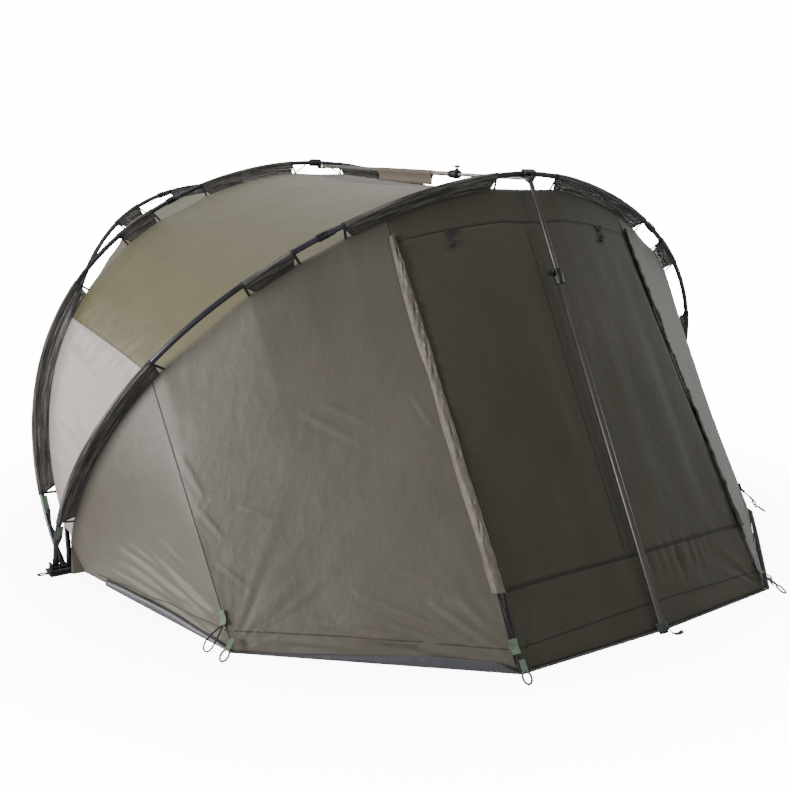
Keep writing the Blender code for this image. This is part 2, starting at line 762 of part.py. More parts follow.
def add_front_block():
    """The front apex block: a clevis for the storm pole, and a pad that the tension bar pushes."""
    size = (BLOCK_LENGTH, BLOCK_WIDTH, BLOCK_HEIGHT)
    block = box("front_apex_block", size, FRONT.frame(), "plastic", BLOCK_ROUNDING)
    gap = STORM_EYE_LENGTH / 2 + TOUCH_GAP
    reach = STORM_PIVOT_AHEAD + CLEVIS_WIDTH / 2
    for end in (-1, 1):
        x = STORM_POLE_X + end * (gap + CLEVIS_PLATE / 2)
        place = Matrix.Translation(Vector((x, -reach / 2, -STORM_PIVOT_BELOW)))
        plate = box(
            f"front_block_clevis_{end}",
            (CLEVIS_PLATE, reach, CLEVIS_WIDTH),
            FRONT.frame() @ place,
            None,
            CLEVIS_PLATE / 4,
        )
        combine(block, plate, "UNION")
    pin = rod(
        "front_block_pin",
        EYE_PIN_RADIUS,
        STORM_EYE_LENGTH + 2 * CLEVIS_PLATE,
        frame_at(STORM_TOP, ACROSS, UP),
        None,
        12,
    )
    pad_up = BAR_TONGUE_THICKNESS / 2 + TOUCH_GAP + BAR_PAD_THICKNESS / 2
    pad = box(
        "front_block_pad",
        (BAR_TONGUE_WIDTH + 2 * CLEVIS_PLATE, BAR_PAD_THICKNESS, BAR_PAD_LENGTH),
        frame_at(BAR_FRONT + BAR_UP * pad_up, -BAR_ALONG),
        None,
        BAR_PAD_THICKNESS / 5,
    )
    # The web runs from the block's rear wall to the back of the pad
    wall = FRONT.frame() @ Vector((BAR_X, BLOCK_WIDTH * 0.4, 0))
    back_of_pad = BAR_FRONT + BAR_UP * (pad_up + BAR_PAD_THICKNESS / 2)
    web = box(
        "front_block_web",
        (CLEVIS_PLATE, 1.5 * BAR_PAD_THICKNESS, (back_of_pad - wall).length),
        frame_at(between(wall, back_of_pad, 0.5), back_of_pad - wall),
    )
    combine(block, pad, "UNION")
    combine(block, web, "UNION")
    combine(block, pole_cutter("front_block_bore", FRONT), "DIFFERENCE")
    combine(block, pin, "UNION")


def add_middle_block():
    """The middle apex block: two plates and a pin that the tension bar swings on."""
    size = (BLOCK_LENGTH, BLOCK_WIDTH, BLOCK_HEIGHT)
    block = box("middle_apex_block", size, MIDDLE.frame(), "plastic", BLOCK_ROUNDING)
    for end in (-1, 1):
        centre = BAR_REAR + BAR_UP * end * (BAR_EYE_HEIGHT / 2 + TOUCH_GAP + CLEVIS_PLATE / 2)
        reach = BAR_REAR_AHEAD
        plate = box(
            f"middle_block_plate_{end}",
            (2 * BAR_EYE_RADIUS, CLEVIS_PLATE, reach),
            frame_at(centre - BAR_ALONG * reach / 2, -BAR_ALONG),
        )
        nose = rod(
            f"middle_block_nose_{end}", BAR_EYE_RADIUS, CLEVIS_PLATE, frame_at(centre, BAR_UP)
        )
        combine(block, plate, "UNION")
        combine(block, nose, "UNION")
    post_height = BAR_EYE_HEIGHT + 2 * CLEVIS_PLATE
    back_off = BAR_REAR_AHEAD - BAR_EYE_RADIUS - 2 * CLEVIS_PLATE
    post = box(
        "middle_block_post",
        (2 * BAR_EYE_RADIUS, post_height, back_off),
        frame_at(BAR_REAR - BAR_ALONG * (BAR_EYE_RADIUS + CLEVIS_PLATE + back_off / 2), -BAR_ALONG),
        None,
        CLEVIS_PLATE / 4,
    )
    combine(block, post, "UNION")
    combine(block, pole_cutter("middle_block_bore", MIDDLE), "DIFFERENCE")
    pin = rod("middle_block_pin", EYE_PIN_RADIUS, post_height, frame_at(BAR_REAR, BAR_UP), None, 12)
    combine(block, pin, "UNION")


def clamp_profile(tube_radius, inner_radius):
    """A collar that laps the outer tube and grips the inner one, its wide end at the top."""
    top = CLAMP_LENGTH - CLAMP_LAP
    grip = inner_radius + TOUCH_GAP
    lap = tube_radius + TOUCH_GAP
    return [
        (grip, top),
        (CLAMP_TOP_RADIUS - CLEVIS_PLATE / 2, top),
        (CLAMP_TOP_RADIUS, top - CLEVIS_PLATE / 2),
        (CLAMP_TOP_RADIUS, 0),
        (CLAMP_TAIL_RADIUS, -CLAMP_LAP),
        (lap, -CLAMP_LAP),
        (lap, TOUCH_GAP),
        (grip, TOUCH_GAP),
    ]


def add_clamp(name, matrix, sideways, tube_radius, inner_radius):
    """A clamp collar with its seam at the matrix, and a boss on the given side of it."""
    collar = turned(name, clamp_profile(tube_radius, inner_radius), matrix, "plastic")
    middle = matrix @ Vector((0, 0, (CLAMP_LENGTH - CLAMP_LAP) / 2))
    start = inner_radius + TOUCH_GAP + 0.4 * (CLAMP_TOP_RADIUS - inner_radius)
    length = CLAMP_BOSS_REACH - start
    centre = middle + sideways * (start + length / 2)
    boss = rod(f"{name}_boss", CLAMP_BOSS_RADIUS, length, frame_at(centre, sideways, UP), None, 12)
    combine(collar, boss, "UNION")
    return middle + sideways * (CLAMP_BOSS_REACH + TOUCH_GAP)


def add_knob(name, seat, sideways):
    """A lobed thumb knob on a short stem, outwards from its seat."""
    count = 6 * KNOB_LOBES
    head = bpy.data.curves.new(f"{name}_head", "CURVE")
    head.dimensions = "2D"
    head.fill_mode = "BOTH"
    head.extrude = KNOB_THICKNESS / 2
    spline = head.splines.new("POLY")
    spline.points.add(count - 1)
    spline.use_cyclic_u = True
    for i in range(count):
        turn = 2 * math.pi * i / count
        radius = KNOB_RADIUS - KNOB_LOBE_DEPTH * (1 - math.cos(KNOB_LOBES * turn)) / 2
        spline.points[i].co = (radius * math.cos(turn), radius * math.sin(turn), 0, 1)
    place = seat + sideways * (KNOB_STEM_LENGTH + KNOB_THICKNESS / 2)
    knob = as_mesh(add_object(name, head, None, frame_at(place, sideways, UP)), "plastic")
    length = KNOB_STEM_LENGTH + KNOB_THICKNESS / 2
    stem = rod(
        f"{name}_stem", KNOB_STEM_RADIUS, length, frame_at(seat + sideways * length / 2, sideways, UP)
    )
    combine(knob, stem, "UNION")


def tube_profile(outer, bore, top, bottom):
    return [(bore, top), (outer, top), (outer, bottom), (bore, bottom)]


def add_storm_pole():
    insert = STORM_SHOWN_LENGTH + STORM_INSERT_LENGTH
    upper = rod("storm_pole_upper", STORM_UPPER_RADIUS, insert, storm_frame(insert / 2), "pole")
    eye = rod(
        "storm_eye", STORM_EYE_RADIUS, STORM_EYE_LENGTH, frame_at(STORM_TOP, ACROSS, UP)
    )
    bore = rod(
        "storm_eye_bore",
        EYE_PIN_RADIUS + TOUCH_GAP,
        2 * STORM_EYE_LENGTH,
        frame_at(STORM_TOP, ACROSS, UP),
        None,
        12,
    )
    ring_cut = turned(
        "storm_neck_waste",
        tube_profile(2 * STORM_EYE_RADIUS, STORM_EYE_LENGTH / 2, CLEVIS_WIDTH, -CLEVIS_WIDTH),
        storm_frame(0),
    )
    combine(upper, ring_cut, "DIFFERENCE")
    combine(upper, eye, "UNION")
    combine(upper, bore, "DIFFERENCE")

    start = STORM_SHOWN_LENGTH
    cap = STORM_FOOT_LENGTH
    lower_length = STORM_LENGTH - start - cap - TOUCH_GAP
    turned(
        "storm_pole_lower",
        tube_profile(STORM_LOWER_RADIUS, STORM_LOWER_BORE, 0, -lower_length),
        storm_frame(start),
        "pole",
    )
    side = -ACROSS
    seat = add_clamp("storm_clamp", storm_frame(start), side, STORM_LOWER_RADIUS, STORM_UPPER_RADIUS)
    add_knob("storm_knob", seat, side)

    foot = rod(
        "storm_foot", STORM_FOOT_RADIUS, 2 * cap, storm_frame(STORM_LENGTH), "rubber"
    )
    floor = box(
        "storm_foot_floor",
        (2 * cap, 4 * cap, 2 * cap),
        Matrix.Translation(STORM_GROUND - UP * cap),
    )
    combine(foot, floor, "DIFFERENCE")


def add_tension_bar():
    clamp = BAR_CLAMP_PLACE
    start = BAR_EYE_RADIUS + EYE_PIN_RADIUS
    outer = turned(
        "bar_rear_tube",
        tube_profile(BAR_OUTER_RADIUS, BAR_OUTER_BORE, 0, start - clamp),
        bar_frame(start),
        "alloy",
    )
    eye = rod("bar_eye", BAR_EYE_RADIUS, BAR_EYE_HEIGHT, frame_at(BAR_REAR, BAR_UP))
    stub_length = 2 * BAR_EYE_RADIUS
    wall_middle = (BAR_OUTER_BORE + BAR_OUTER_RADIUS) / 2
    stub = rod("bar_eye_stub", wall_middle, stub_length, bar_frame(stub_length / 2))
    bore = rod(
        "bar_eye_bore",
        EYE_PIN_RADIUS + TOUCH_GAP,
        4 * BAR_EYE_HEIGHT,
        frame_at(BAR_REAR, BAR_UP),
        None,
        12,
    )
    limit = box(
        "bar_eye_limit",
        (4 * BAR_EYE_RADIUS, BAR_EYE_HEIGHT, 4 * BAR_EYE_RADIUS),
        bar_frame(BAR_EYE_RADIUS),
    )
    combine(stub, limit, "INTERSECT")
    combine(outer, stub, "UNION")
    combine(outer, eye, "UNION")
    combine(outer, bore, "DIFFERENCE")

    start = clamp - BAR_INSERT_LENGTH
    end = BAR_LENGTH - BAR_PAD_LENGTH / 2 - CLOTH
    inner = rod(
        "bar_front_tube", BAR_INNER_RADIUS, end - start, bar_frame((start + end) / 2), "alloy"
    )
    tongue = box(
        "bar_tongue",
        (BAR_TONGUE_WIDTH, BAR_TONGUE_THICKNESS, BAR_TONGUE_LENGTH),
        bar_frame(BAR_LENGTH + (BAR_PAD_LENGTH - BAR_TONGUE_LENGTH) / 2),
        None,
        BAR_TONGUE_THICKNESS / 5,
    )
    combine(inner, tongue, "UNION")
    flip = frame_at(BAR_REAR + BAR_ALONG * clamp, BAR_ALONG)
    seat = add_clamp("bar_clamp", flip, BAR_UP, BAR_OUTER_RADIUS, BAR_INNER_RADIUS)
    add_knob("bar_knob", seat, BAR_UP)


def add_wrap():
    """A cloth wrap round the bar, whose tail hangs to the roof's top seam."""
    profile = fold_profile(BAR_OUTER_RADIUS, WRAP_DEPTH, 6)
    rows = []
    for distance in steps(WRAP_START, WRAP_START + WRAP_LENGTH, 4):
        centre = BAR_REAR + BAR_ALONG * distance
        rows.append([centre - BAR_UP * depth + ACROSS * x for depth, x in profile])

    def from_bar(point):
        below = BAR_REAR - BAR_UP * WRAP_DEPTH / 2
        offset = point - below
        return offset - BAR_ALONG * offset.dot(BAR_ALONG)

    shell("bar_wrap", rows, WRAP_CLOTH, "flap", from_bar)


def beside_zip(side, share, distance, lift):
    """A point over the front cloth, at a distance outwards from the zip, and lifted off it."""
    place = side * ZIP_SHARE
    here = front_point(place, share)
    reach = side * (0.01 if distance > 0 else -0.01)
    there = front_point(place + reach, share, 0)
    part = reach * abs(distance) / (there - here).length if distance else reach / 10
    return front_point(place + part, share, SIDE_SAG if distance > 0 else FRONT_SAG, lift)


def add_flaps_and_sliders():
    """Zip covers that stand off the seam, with a slider that runs in the channel beneath."""
    rest = CLOTH + 2 * TOUCH_GAP
    for side in (-1, 1):
        label = side_name(side)
        place = side * ZIP_SHARE
        rows = []
        for share in steps(FLAP_START, SILL_SEAM_SHARE, CLOTH_ROWS):
            over_side = beside_zip(side, share, FLAP_OVER_SIDE, rest)
            fold = beside_zip(side, share, FLAP_OVER_SIDE - FLAP_FOLD, rest + FLAP_RISE / 2)
            ridge = beside_zip(side, share, 0, FLAP_RISE)
            over_door = beside_zip(side, share, -FLAP_OVER_DOOR, FLAP_RISE)
            rows.append([over_side, fold, ridge, over_door])
        shell(f"zip_flap_{label}", rows, FLAP_CLOTH, "flap", from_inside)

        top = front_point(place, 0)
        foot = front_point(place, 1)
        down = (foot - top).normalized()
        outer = beside_zip(side, SILL_SEAM_SHARE, SLIDER_WIDTH, 0)
        inner = beside_zip(side, SILL_SEAM_SHARE, -SLIDER_WIDTH, 0)
        across = (outer - inner).normalized()
        out = across.cross(down).normalized()
        if out.dot(from_inside(top)) < 0:
            out.negate()
        lift = CLOTH + SLIDER_STAND_OFF + SLIDER_THICKNESS / 2
        distance = (foot - top).length * SILL_SEAM_SHARE + SLIDER_LENGTH / 2
        centre = top + down * distance + out * lift
        slider = box(
            f"zip_slider_{label}",
            (SLIDER_WIDTH, SLIDER_THICKNESS, SLIDER_LENGTH),
            frame_at(centre, -down, across),
            "plastic",
            SLIDER_THICKNESS / 5,
        )
        pull = centre + down * (SLIDER_LENGTH / 2 + PULLER_LENGTH / 2 - PULLER_WIDTH)
        puller = box(
            f"zip_puller_{label}",
            (PULLER_WIDTH, PULLER_THICKNESS, PULLER_LENGTH),
            frame_at(pull, -down, across),
            None,
            PULLER_THICKNESS / 4,
        )
        combine(slider, puller, "UNION")
        low = CLOTH + KEEL_GAP
        keel_height = lift - low
        keel = box(
            f"zip_keel_{label}",
            (KEEL_WIDTH, keel_height, SLIDER_LENGTH - 2 * TOUCH_GAP),
            frame_at(top + down * distance + out * (low + keel_height / 2), -down, across),
        )
        combine(slider, keel, "UNION")


def add_peg_loop(name, top, foot, tab_height):
    """A webbing tab on a crease of the cloth, and the cord and ring that a peg holds."""
    up = (top - foot).normalized()
    away = Vector((foot.x, foot.y, 0)).normalized()
    out = (away - up * away.dot(up)).normalized()
    centre = foot + up * tab_height / up.z + out * (CLOTH + 2 * TOUCH_GAP + TAB_THICKNESS / 2)
    tab = box(
        name, (TAB_WIDTH, TAB_THICKNESS, TAB_LENGTH), frame_at(centre, up, up.cross(out)), "webbing"
    )
    hold = Vector((foot.x, foot.y, RING_WIRE)) + away * PEG_REACH
    turned_out = frame_at(hold, UP, away)
    loop = ring(f"{name}_ring", turned_out)
    start = centre - up * (TAB_LENGTH / 2 - TAB_THICKNESS)
    end = hold - away * (RING_LENGTH / 2 - RING_WIRE)
    knee = Vector((end.x, end.y, 0)) + UP * (start.z * 0.55) - away * RING_WIRE
    points = []
    for share in steps(0, 1, 8):
        first = between(start, knee, share)
        points.append(between(first, between(knee, end, share), share))
    cord = as_mesh(tube(f"{name}_cord", points, CORD_RADIUS, resolution=1))
    combine(tab, cord, "UNION")
    combine(tab, loop, "UNION")


def add_peg_loops():
    for side in (-1, 1):
        label = side_name(side)
        place = side * SIDE_CORNER_SHARE
        add_peg_loop(
            f"side_peg_loop_{label}", front_point(place, 0), front_point(place, 1), SIDE_TAB_HEIGHT
        )
        place = side * ZIP_SHARE
        add_peg_loop(
            f"front_peg_loop_{label}", front_point(place, 0), front_point(place, 1), FRONT_TAB_HEIGHT
        )
        top = wall_point(REAR, place, 0, REAR_GROUND, 0)
        foot = wall_point(REAR, place, 1, REAR_GROUND, 0)
        add_peg_loop(f"rear_peg_loop_{label}", top, foot, FRONT_TAB_HEIGHT)


def add_foot_loop():
    """A webbing loop on the sill that the storm pole's foot stands in."""
    radius = STORM_FOOT_RADIUS + SLEEVE_CLEARANCE + TAB_THICKNESS / 2
    centre = STORM_TOP + STORM_DOWN * (STORM_LENGTH - STORM_FOOT_LENGTH * 0.7)
    seat = frame_at(centre, -STORM_DOWN)
    profile = tube_profile(
        radius + TAB_THICKNESS / 2,
        radius - TAB_THICKNESS / 2,
        FOOT_LOOP_WIDTH / 2,
        -FOOT_LOOP_WIDTH / 2,
    )
    turned("storm_foot_loop", profile, seat, "webbing", 20)


def carry(pivot_name, location, names, parent=None):
    """An empty on a joint's axis, which carries the named pieces."""
    pivot = bpy.data.objects.new(pivot_name, None)
    pivot.location = location
    TENT.objects.link(pivot)
    bpy.context.view_layer.update()
    if parent is not None:
        pivot.parent = parent
        pivot.matrix_parent_inverse = parent.matrix_world.inverted()
    bpy.context.view_layer.update()
    for name in names:
        piece = bpy.data.objects[name]
        piece.parent = pivot
        piece.matrix_parent_inverse = pivot.matrix_world.inverted()
    return pivot


def carry_moving_pieces():
    hub_axis = UP * HUB_AXIS_HEIGHT
    names = [obj.name for obj in TENT.objects]
    on_front = [n for n in names if n.startswith(("front_", "side_", "zip_flap", "storm_foot_loop"))]
    front = carry("front_fold_axis", hub_axis, on_front)
    on_rear = [n for n in names if n.startswith(("rear_pole", "rear_lower", "rear_tab", "rear_top"))]
    carry("rear_fold_axis", hub_axis, on_rear)
    storm = carry("storm_pivot", STORM_TOP, ["storm_pole_upper"], front)
    slide = storm_frame(STORM_SHOWN_LENGTH).translation
    lower = carry("storm_slide", slide, ["storm_pole_lower", "storm_clamp", "storm_foot"], storm)
    storm_knob = bpy.data.objects["storm_knob"].matrix_world.translation
    carry("storm_screw", storm_knob, ["storm_knob"], lower)
    bar = carry("bar_pivot", BAR_REAR, ["bar_rear_tube", "bar_clamp", "bar_wrap"])
    carry("bar_slide", BAR_FRONT, ["bar_front_tube"], bar)
    bar_knob = bpy.data.objects["bar_knob"].matrix_world.translation
    carry("bar_screw", bar_knob, ["bar_knob"], bar)
    carry("door_seam", front_point(0, HEAD_SEAM_SHARE), ["door_panel"], front)
    for label in ("left", "right"):
        name = f"zip_slider_{label}"
        carry(f"zip_run_{label}", bpy.data.objects[name].matrix_world.translation, [name], front)


def main():
    new_collections()
    for name, rib in (("front", FRONT), ("middle", MIDDLE), ("rear", REAR)):
        add_poles(name, rib)
    add_sleeves()
    add_front_walls()
    add_roofs()
    add_groundsheet()
    add_hubs()
    add_front_block()
    add_middle_block()
    add_storm_pole()
    add_tension_bar()
    add_wrap()
    add_flaps_and_sliders()
    add_peg_loops()
    add_foot_loop()
    carry_moving_pieces()


main()
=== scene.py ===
import math
import bpy
from mathutils import Matrix, Vector, noise


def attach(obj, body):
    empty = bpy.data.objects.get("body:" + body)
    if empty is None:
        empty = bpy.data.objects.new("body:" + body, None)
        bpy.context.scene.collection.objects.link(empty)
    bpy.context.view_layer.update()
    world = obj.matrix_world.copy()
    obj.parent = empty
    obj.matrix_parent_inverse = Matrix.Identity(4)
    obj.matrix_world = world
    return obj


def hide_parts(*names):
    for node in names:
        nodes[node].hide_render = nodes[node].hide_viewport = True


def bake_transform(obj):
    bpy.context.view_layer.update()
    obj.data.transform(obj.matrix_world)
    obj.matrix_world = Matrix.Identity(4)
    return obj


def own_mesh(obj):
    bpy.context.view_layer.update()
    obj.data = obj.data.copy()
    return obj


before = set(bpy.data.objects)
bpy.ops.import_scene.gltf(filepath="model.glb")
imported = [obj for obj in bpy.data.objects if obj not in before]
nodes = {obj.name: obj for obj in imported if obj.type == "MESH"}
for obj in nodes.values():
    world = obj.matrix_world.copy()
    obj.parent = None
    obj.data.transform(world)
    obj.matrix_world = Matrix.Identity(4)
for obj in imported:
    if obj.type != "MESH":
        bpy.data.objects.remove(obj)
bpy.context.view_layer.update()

across = Vector((1, 0, 0))
up = Vector((0, 0, 1))
hubAxis = Vector((0, 0, 0.022))
bothSides = ((-1, "left"), (1, "right"))
print("frame loaded:", len(nodes), "nodes")


def mixed(first, second, share):
    return first + (second - first) * share


def spaced(start, end, count):
    return [start + (end - start) * i / count for i in range(count + 1)]


def clamped(value):
    return min(1.0, max(0.0, value))


def ripple(x, y=0.0, z=0.0):
    return noise.noise(Vector((x, y, z)))


# Places run along a rib from -1, the left foot, over 0, its top, to 1, the right foot, as in the CAD part.
# Shares run from 0 at the rib to 1 at the ground or at the next rib. cut holds both, and sizes in metres
halfBays = 26
cut = {"inset": 0.0505, "hem": 0.965, "corner": 0.675, "zip": 0.25, "zipFlare": 0.03, "sill": 0.845,
       "headSeam": 0.081, "headRise": 0.024, "roofSeam": 0.67, "hollow": 0.004, "hemHeight": 0.0023,
       "softReach": 0.38, "softShare": 0.9}


class Rib:
    # bare lists the bays, of 26 to a half rib, between which no sleeve holds the cloth
    def __init__(self, name, body, foot, lean, reach, shoulder, swell, crown, bare):
        turn = math.radians(lean)
        self.name = name
        self.body = body
        self.foot = foot
        self.bare = bare
        self.radial = Vector((0, -math.sin(turn), math.cos(turn)))
        self.back = Vector((0, math.cos(turn), math.sin(turn)))
        self.corners = ((foot, 0), (foot + swell, shoulder), (crown, reach), (0, reach))

    def point(self, place, inset=0.0, ahead=0.0):
        share = 1 - abs(place)
        rest = 1 - share
        a, b, c, d = (Vector(corner) for corner in self.corners)
        flat = rest**3 * a + 3 * rest**2 * share * b + 3 * rest * share**2 * c + share**3 * d
        along = rest**2 * (b - a) + 2 * rest * share * (c - b) + share**2 * (d - c)
        along.normalize()
        flat += inset * Vector((-along.y, along.x))
        x = -flat.x if place < 0 else flat.x
        return across * x + self.radial * flat.y - self.back * ahead + hubAxis

    def inward(self, place):
        return (self.point(place, 0.01) - self.point(place)).normalized()

    def share(self, place, length):
        # how much place a length on the rib takes up
        return 0.01 * length / (self.point(place + 0.01) - self.point(place)).length

    def edge(self, place):
        # the cloth's edge follows the sleeves' tails and runs straight between them
        for outer, inner in self.bare:
            start, end = math.copysign(inner / halfBays, place), math.copysign(outer / halfBays, place)
            if inner < 0:
                start, end = inner / halfBays, outer / halfBays
            part = (place - start) / (end - start)
            if 0 < part < 1:
                point = mixed(self.point(start, cut["inset"]), self.point(end, cut["inset"]), part)
                return point + self.inward(place) * cut["hollow"] * math.sin(math.pi * part)
        return self.point(place, cut["inset"])


front = Rib("front", "front_rib", foot=1.464, lean=29.0, reach=1.553, shoulder=1.02, swell=0.092, crown=0.546,
            bare=((17, 13), (11, 9), (2, -2)))
middle = Rib("middle", "tent", foot=1.44, lean=-28.5, reach=1.62, shoulder=1.22, swell=0.219, crown=0.508,
             bare=((16, 13), (11, 8), (2, -2)))
rear = Rib("rear", "rear_rib", foot=1.416, lean=-44.0, reach=1.841, shoulder=1.935, swell=-0.257, crown=0.474,
           bare=((19, 14), (12, 9)))
ribs = (front, middle, rear)
# (place, x, y) of the hem's corners on the ground
frontHem = ((cut["hem"], 1.378, -0.058), (cut["corner"], 1.172, -0.88), (cut["zip"], 0.541, -1.425),
            (0, 0, -1.447))
rearHem = ((cut["hem"], 1.378, 0.058), (cut["corner"], 1.13, 0.84), (cut["zip"], 0.56, 1.40), (0, 0, 1.43))


def groundPoint(place, corners):
    size = abs(place)
    x, y = corners[-1][1:]
    if size > corners[0][0]:
        x, y = corners[0][1:]
    for (outer, x0, y0), (inner, x1, y1) in zip(corners, corners[1:]):
        if inner <= size <= outer:
            part = (outer - size) / (outer - inner)
            x, y = mixed(x0, x1, part), mixed(y0, y1, part)
            break
    return Vector((-x if place < 0 else x, y, cut["hemHeight"]))


def hollow(place, corners):
    # 0 at the hem's corners, 1 halfway between them
    size = abs(place)
    for (outer, _, _), (inner, _, _) in zip(corners, corners[1:]):
        if inner <= size <= outer and inner > 0:
            return math.sin(math.pi * (size - inner) / (outer - inner))
    return math.cos(math.pi * size / (2 * cut["zip"])) if size < cut["zip"] else 0.0


def softEdge(rib, place, share):
    # the bends between sleeves and bare bays fade out down the cloth
    part = min(1.0, share / cut["softReach"])
    fade = cut["softShare"] * part * part * (3 - 2 * part)
    return mixed(rib.edge(place), rib.point(place, cut["inset"]), fade)


def wallBase(rib, corners, sag):
    step = 0.001

    def base(place, share):
        top = softEdge(rib, place, share)
        foot = groundPoint(place, corners)
        point = mixed(top, foot, share)
        beside = mixed(softEdge(rib, place + step, share), groundPoint(place + step, corners), share)
        normal = (beside - point).cross(foot - top).normalized()
        if normal.dot(point - hubAxis) < 0:
            normal.negate()
        return point - normal * sag * math.sin(math.pi * share) * hollow(place, corners)
    return base


def roofBase(first, second, sag):
    apex = {"flat": 0.09, "fade": 0.1, "soften": 0.35, "sagSpan": 12}
    down = (first.radial + second.radial).normalized()

    def base(place, share):
        away = clamped((abs(place) - apex["flat"]) / apex["fade"])
        start = softEdge(first, place, apex["soften"] * away * math.sin(math.pi * share))
        end = softEdge(second, place, apex["soften"] * away * math.sin(math.pi * share))
        inward = -down * math.cos(place * math.pi / 2) - across * math.sin(place * math.pi / 2)
        spread = min(1.0, (end - start).length / sag / apex["sagSpan"])
        return mixed(start, end, share) + inward * sag * spread * math.sin(math.pi * share)
    return base


def zipPlace(side, share):
    # the zips lean a little outwards towards the top
    return side * (cut["zip"] + cut["zipFlare"] * max(0.0, 1 - share / cut["sill"]))


def headShare(place):
    # the head seam sits lower in the middle than beside the zips, which are at 0.28 there
    return cut["headSeam"] - cut["headRise"] * (place / (cut["zip"] + cut["zipFlare"])) ** 2


# Slack and pulls in the cloth, as heights off its plain surface
def slack(spot, size, depth, seed):
    return depth * noise.noise(spot / size + Vector((seed, seed * 0.37, 0)))


def slackLayers(spot, layers, shift=0):
    # layers of (size, depth, seed)
    rise = 0.0
    for size, depth, seed in layers:
        rise += slack(spot, size, depth, seed + shift)
    return rise


def hemPuckers(spot, run, height, size, depth, seed):
    # folds that lie along the hem and fade out at a height above it
    return max(0.0, 1 - spot.z / height) * slack(Vector((run, 0, spot.z)), size, depth, seed)


def ridges(spot, along, size, depth, seed):
    # creases, seven times as long as wide, that run along one way
    run = spot.dot(along)
    aside = spot - along * run
    value = noise.noise(aside / size + along * (run / size / 7) + Vector((0, 0, seed)))
    return depth * (1 - 2.4 * abs(value)) * 0.6


def fan(spot, centre, along, reach, depth, seed):
    # creases that run out from a point that pulls the cloth, five to a radian or so
    away = spot - centre
    distance = away.length
    turn = math.atan2(away.z, away.dot(along))
    value = ripple(turn * 5, distance * 1.7, seed)
    return depth * (1 - 3 * abs(value)) * math.exp(-distance / reach) * min(1.0, distance / 0.06)


def crease(spot, start, end, width, depth):
    # one sharp fold from start to end, with a trough below it
    line = end - start
    part = clamped((spot - start).dot(line) / line.length_squared)
    away = spot - start - line * part
    off = away.length / width
    trough = 0.55 * math.exp(-(off - 1.6) ** 2) if away.z < 0 else 0.0
    fade = math.sin(math.pi * (0.08 + 0.84 * part))
    return depth * fade * (math.exp(-off * off) - trough)


def calm(value, start, end, width):
    # 0 at start and end, 1 further in
    return clamped((value - start) / width) * clamped((end - value) / width)


class Cloth:
    def __init__(self, base, wrinkles):
        self.base = base
        self.wrinkles = wrinkles

    def normal(self, place, share):
        step = 0.002
        beside = self.base(place + step, share) - self.base(place - step, share)
        below = self.base(place, share + step) - self.base(place, share - step)
        normal = beside.cross(below).normalized()
        if normal.dot(self.base(place, share) - hubAxis) < 0:
            normal.negate()
        return normal

    def point(self, place, share, lift=0.0):
        spot = self.base(place, share)
        lift += self.wrinkles(place, share, spot)
        return spot + self.normal(place, share) * lift


# Mesh builders: a shape is a list of points, faces and UVs in metres
def newObject(name, verts, faces, uvs=None, sharp=40):
    mesh = bpy.data.meshes.new(name)
    mesh.from_pydata([tuple(v) for v in verts], [], faces)
    if uvs:
        layer = mesh.uv_layers.new(name="UVMap")
        for loop in mesh.loops:
            layer.data[loop.index].uv = uvs[loop.vertex_index]
    mesh.shade_smooth()
    mesh.set_sharp_from_angle(angle=math.radians(sharp))
    obj = bpy.data.objects.new(name, mesh)
    bpy.context.scene.collection.objects.link(obj)
    return obj


def together(name, shapes):
    # several shapes as one piece
    verts, faces, uvs = [], [], []
    for points, sides, marks in shapes:
        base = len(verts)
        verts += points
        uvs += marks
        faces += [tuple(base + k for k in side) for side in sides]
    return newObject(name, verts, faces, uvs)


def gridObject(name, rows, thickness, offset=1, looped=False):
    # a sheet through rows of points, with its flat size and area kept on the object
    wide, deep = len(rows), len(rows[0])
    half, side = wide // 2, deep // 2
    u, v = [0.0], [0.0]
    for i in range(1, wide):
        u.append(u[-1] + (rows[i][side] - rows[i - 1][side]).length)
    for j in range(1, deep):
        v.append(v[-1] + (rows[half][j] - rows[half][j - 1]).length)
    verts = [point for row in rows for point in row]
    uvs = [(u[i], v[j]) for i in range(wide) for j in range(deep)]
    faces = []
    for i in range(wide if looped else wide - 1):
        for j in range(deep - 1):
            a, b = i * deep + j, (i + 1) % wide * deep + j
            faces.append((a, a + 1, b + 1, b))
    a, b, c = (verts[k] for k in faces[len(faces) // 2][:3])
    if (b - a).cross(c - b).dot(a - hubAxis) < 0:
        faces = [face[::-1] for face in faces]
    obj = newObject(name, verts, faces, uvs, 60)
    solid = obj.modifiers.new("cloth", "SOLIDIFY")
    solid.thickness = thickness
    solid.offset = offset
    obj["area"] = sum(face.area for face in obj.data.polygons)
    obj["flat"] = [u[-1], v[-1]]
    return obj


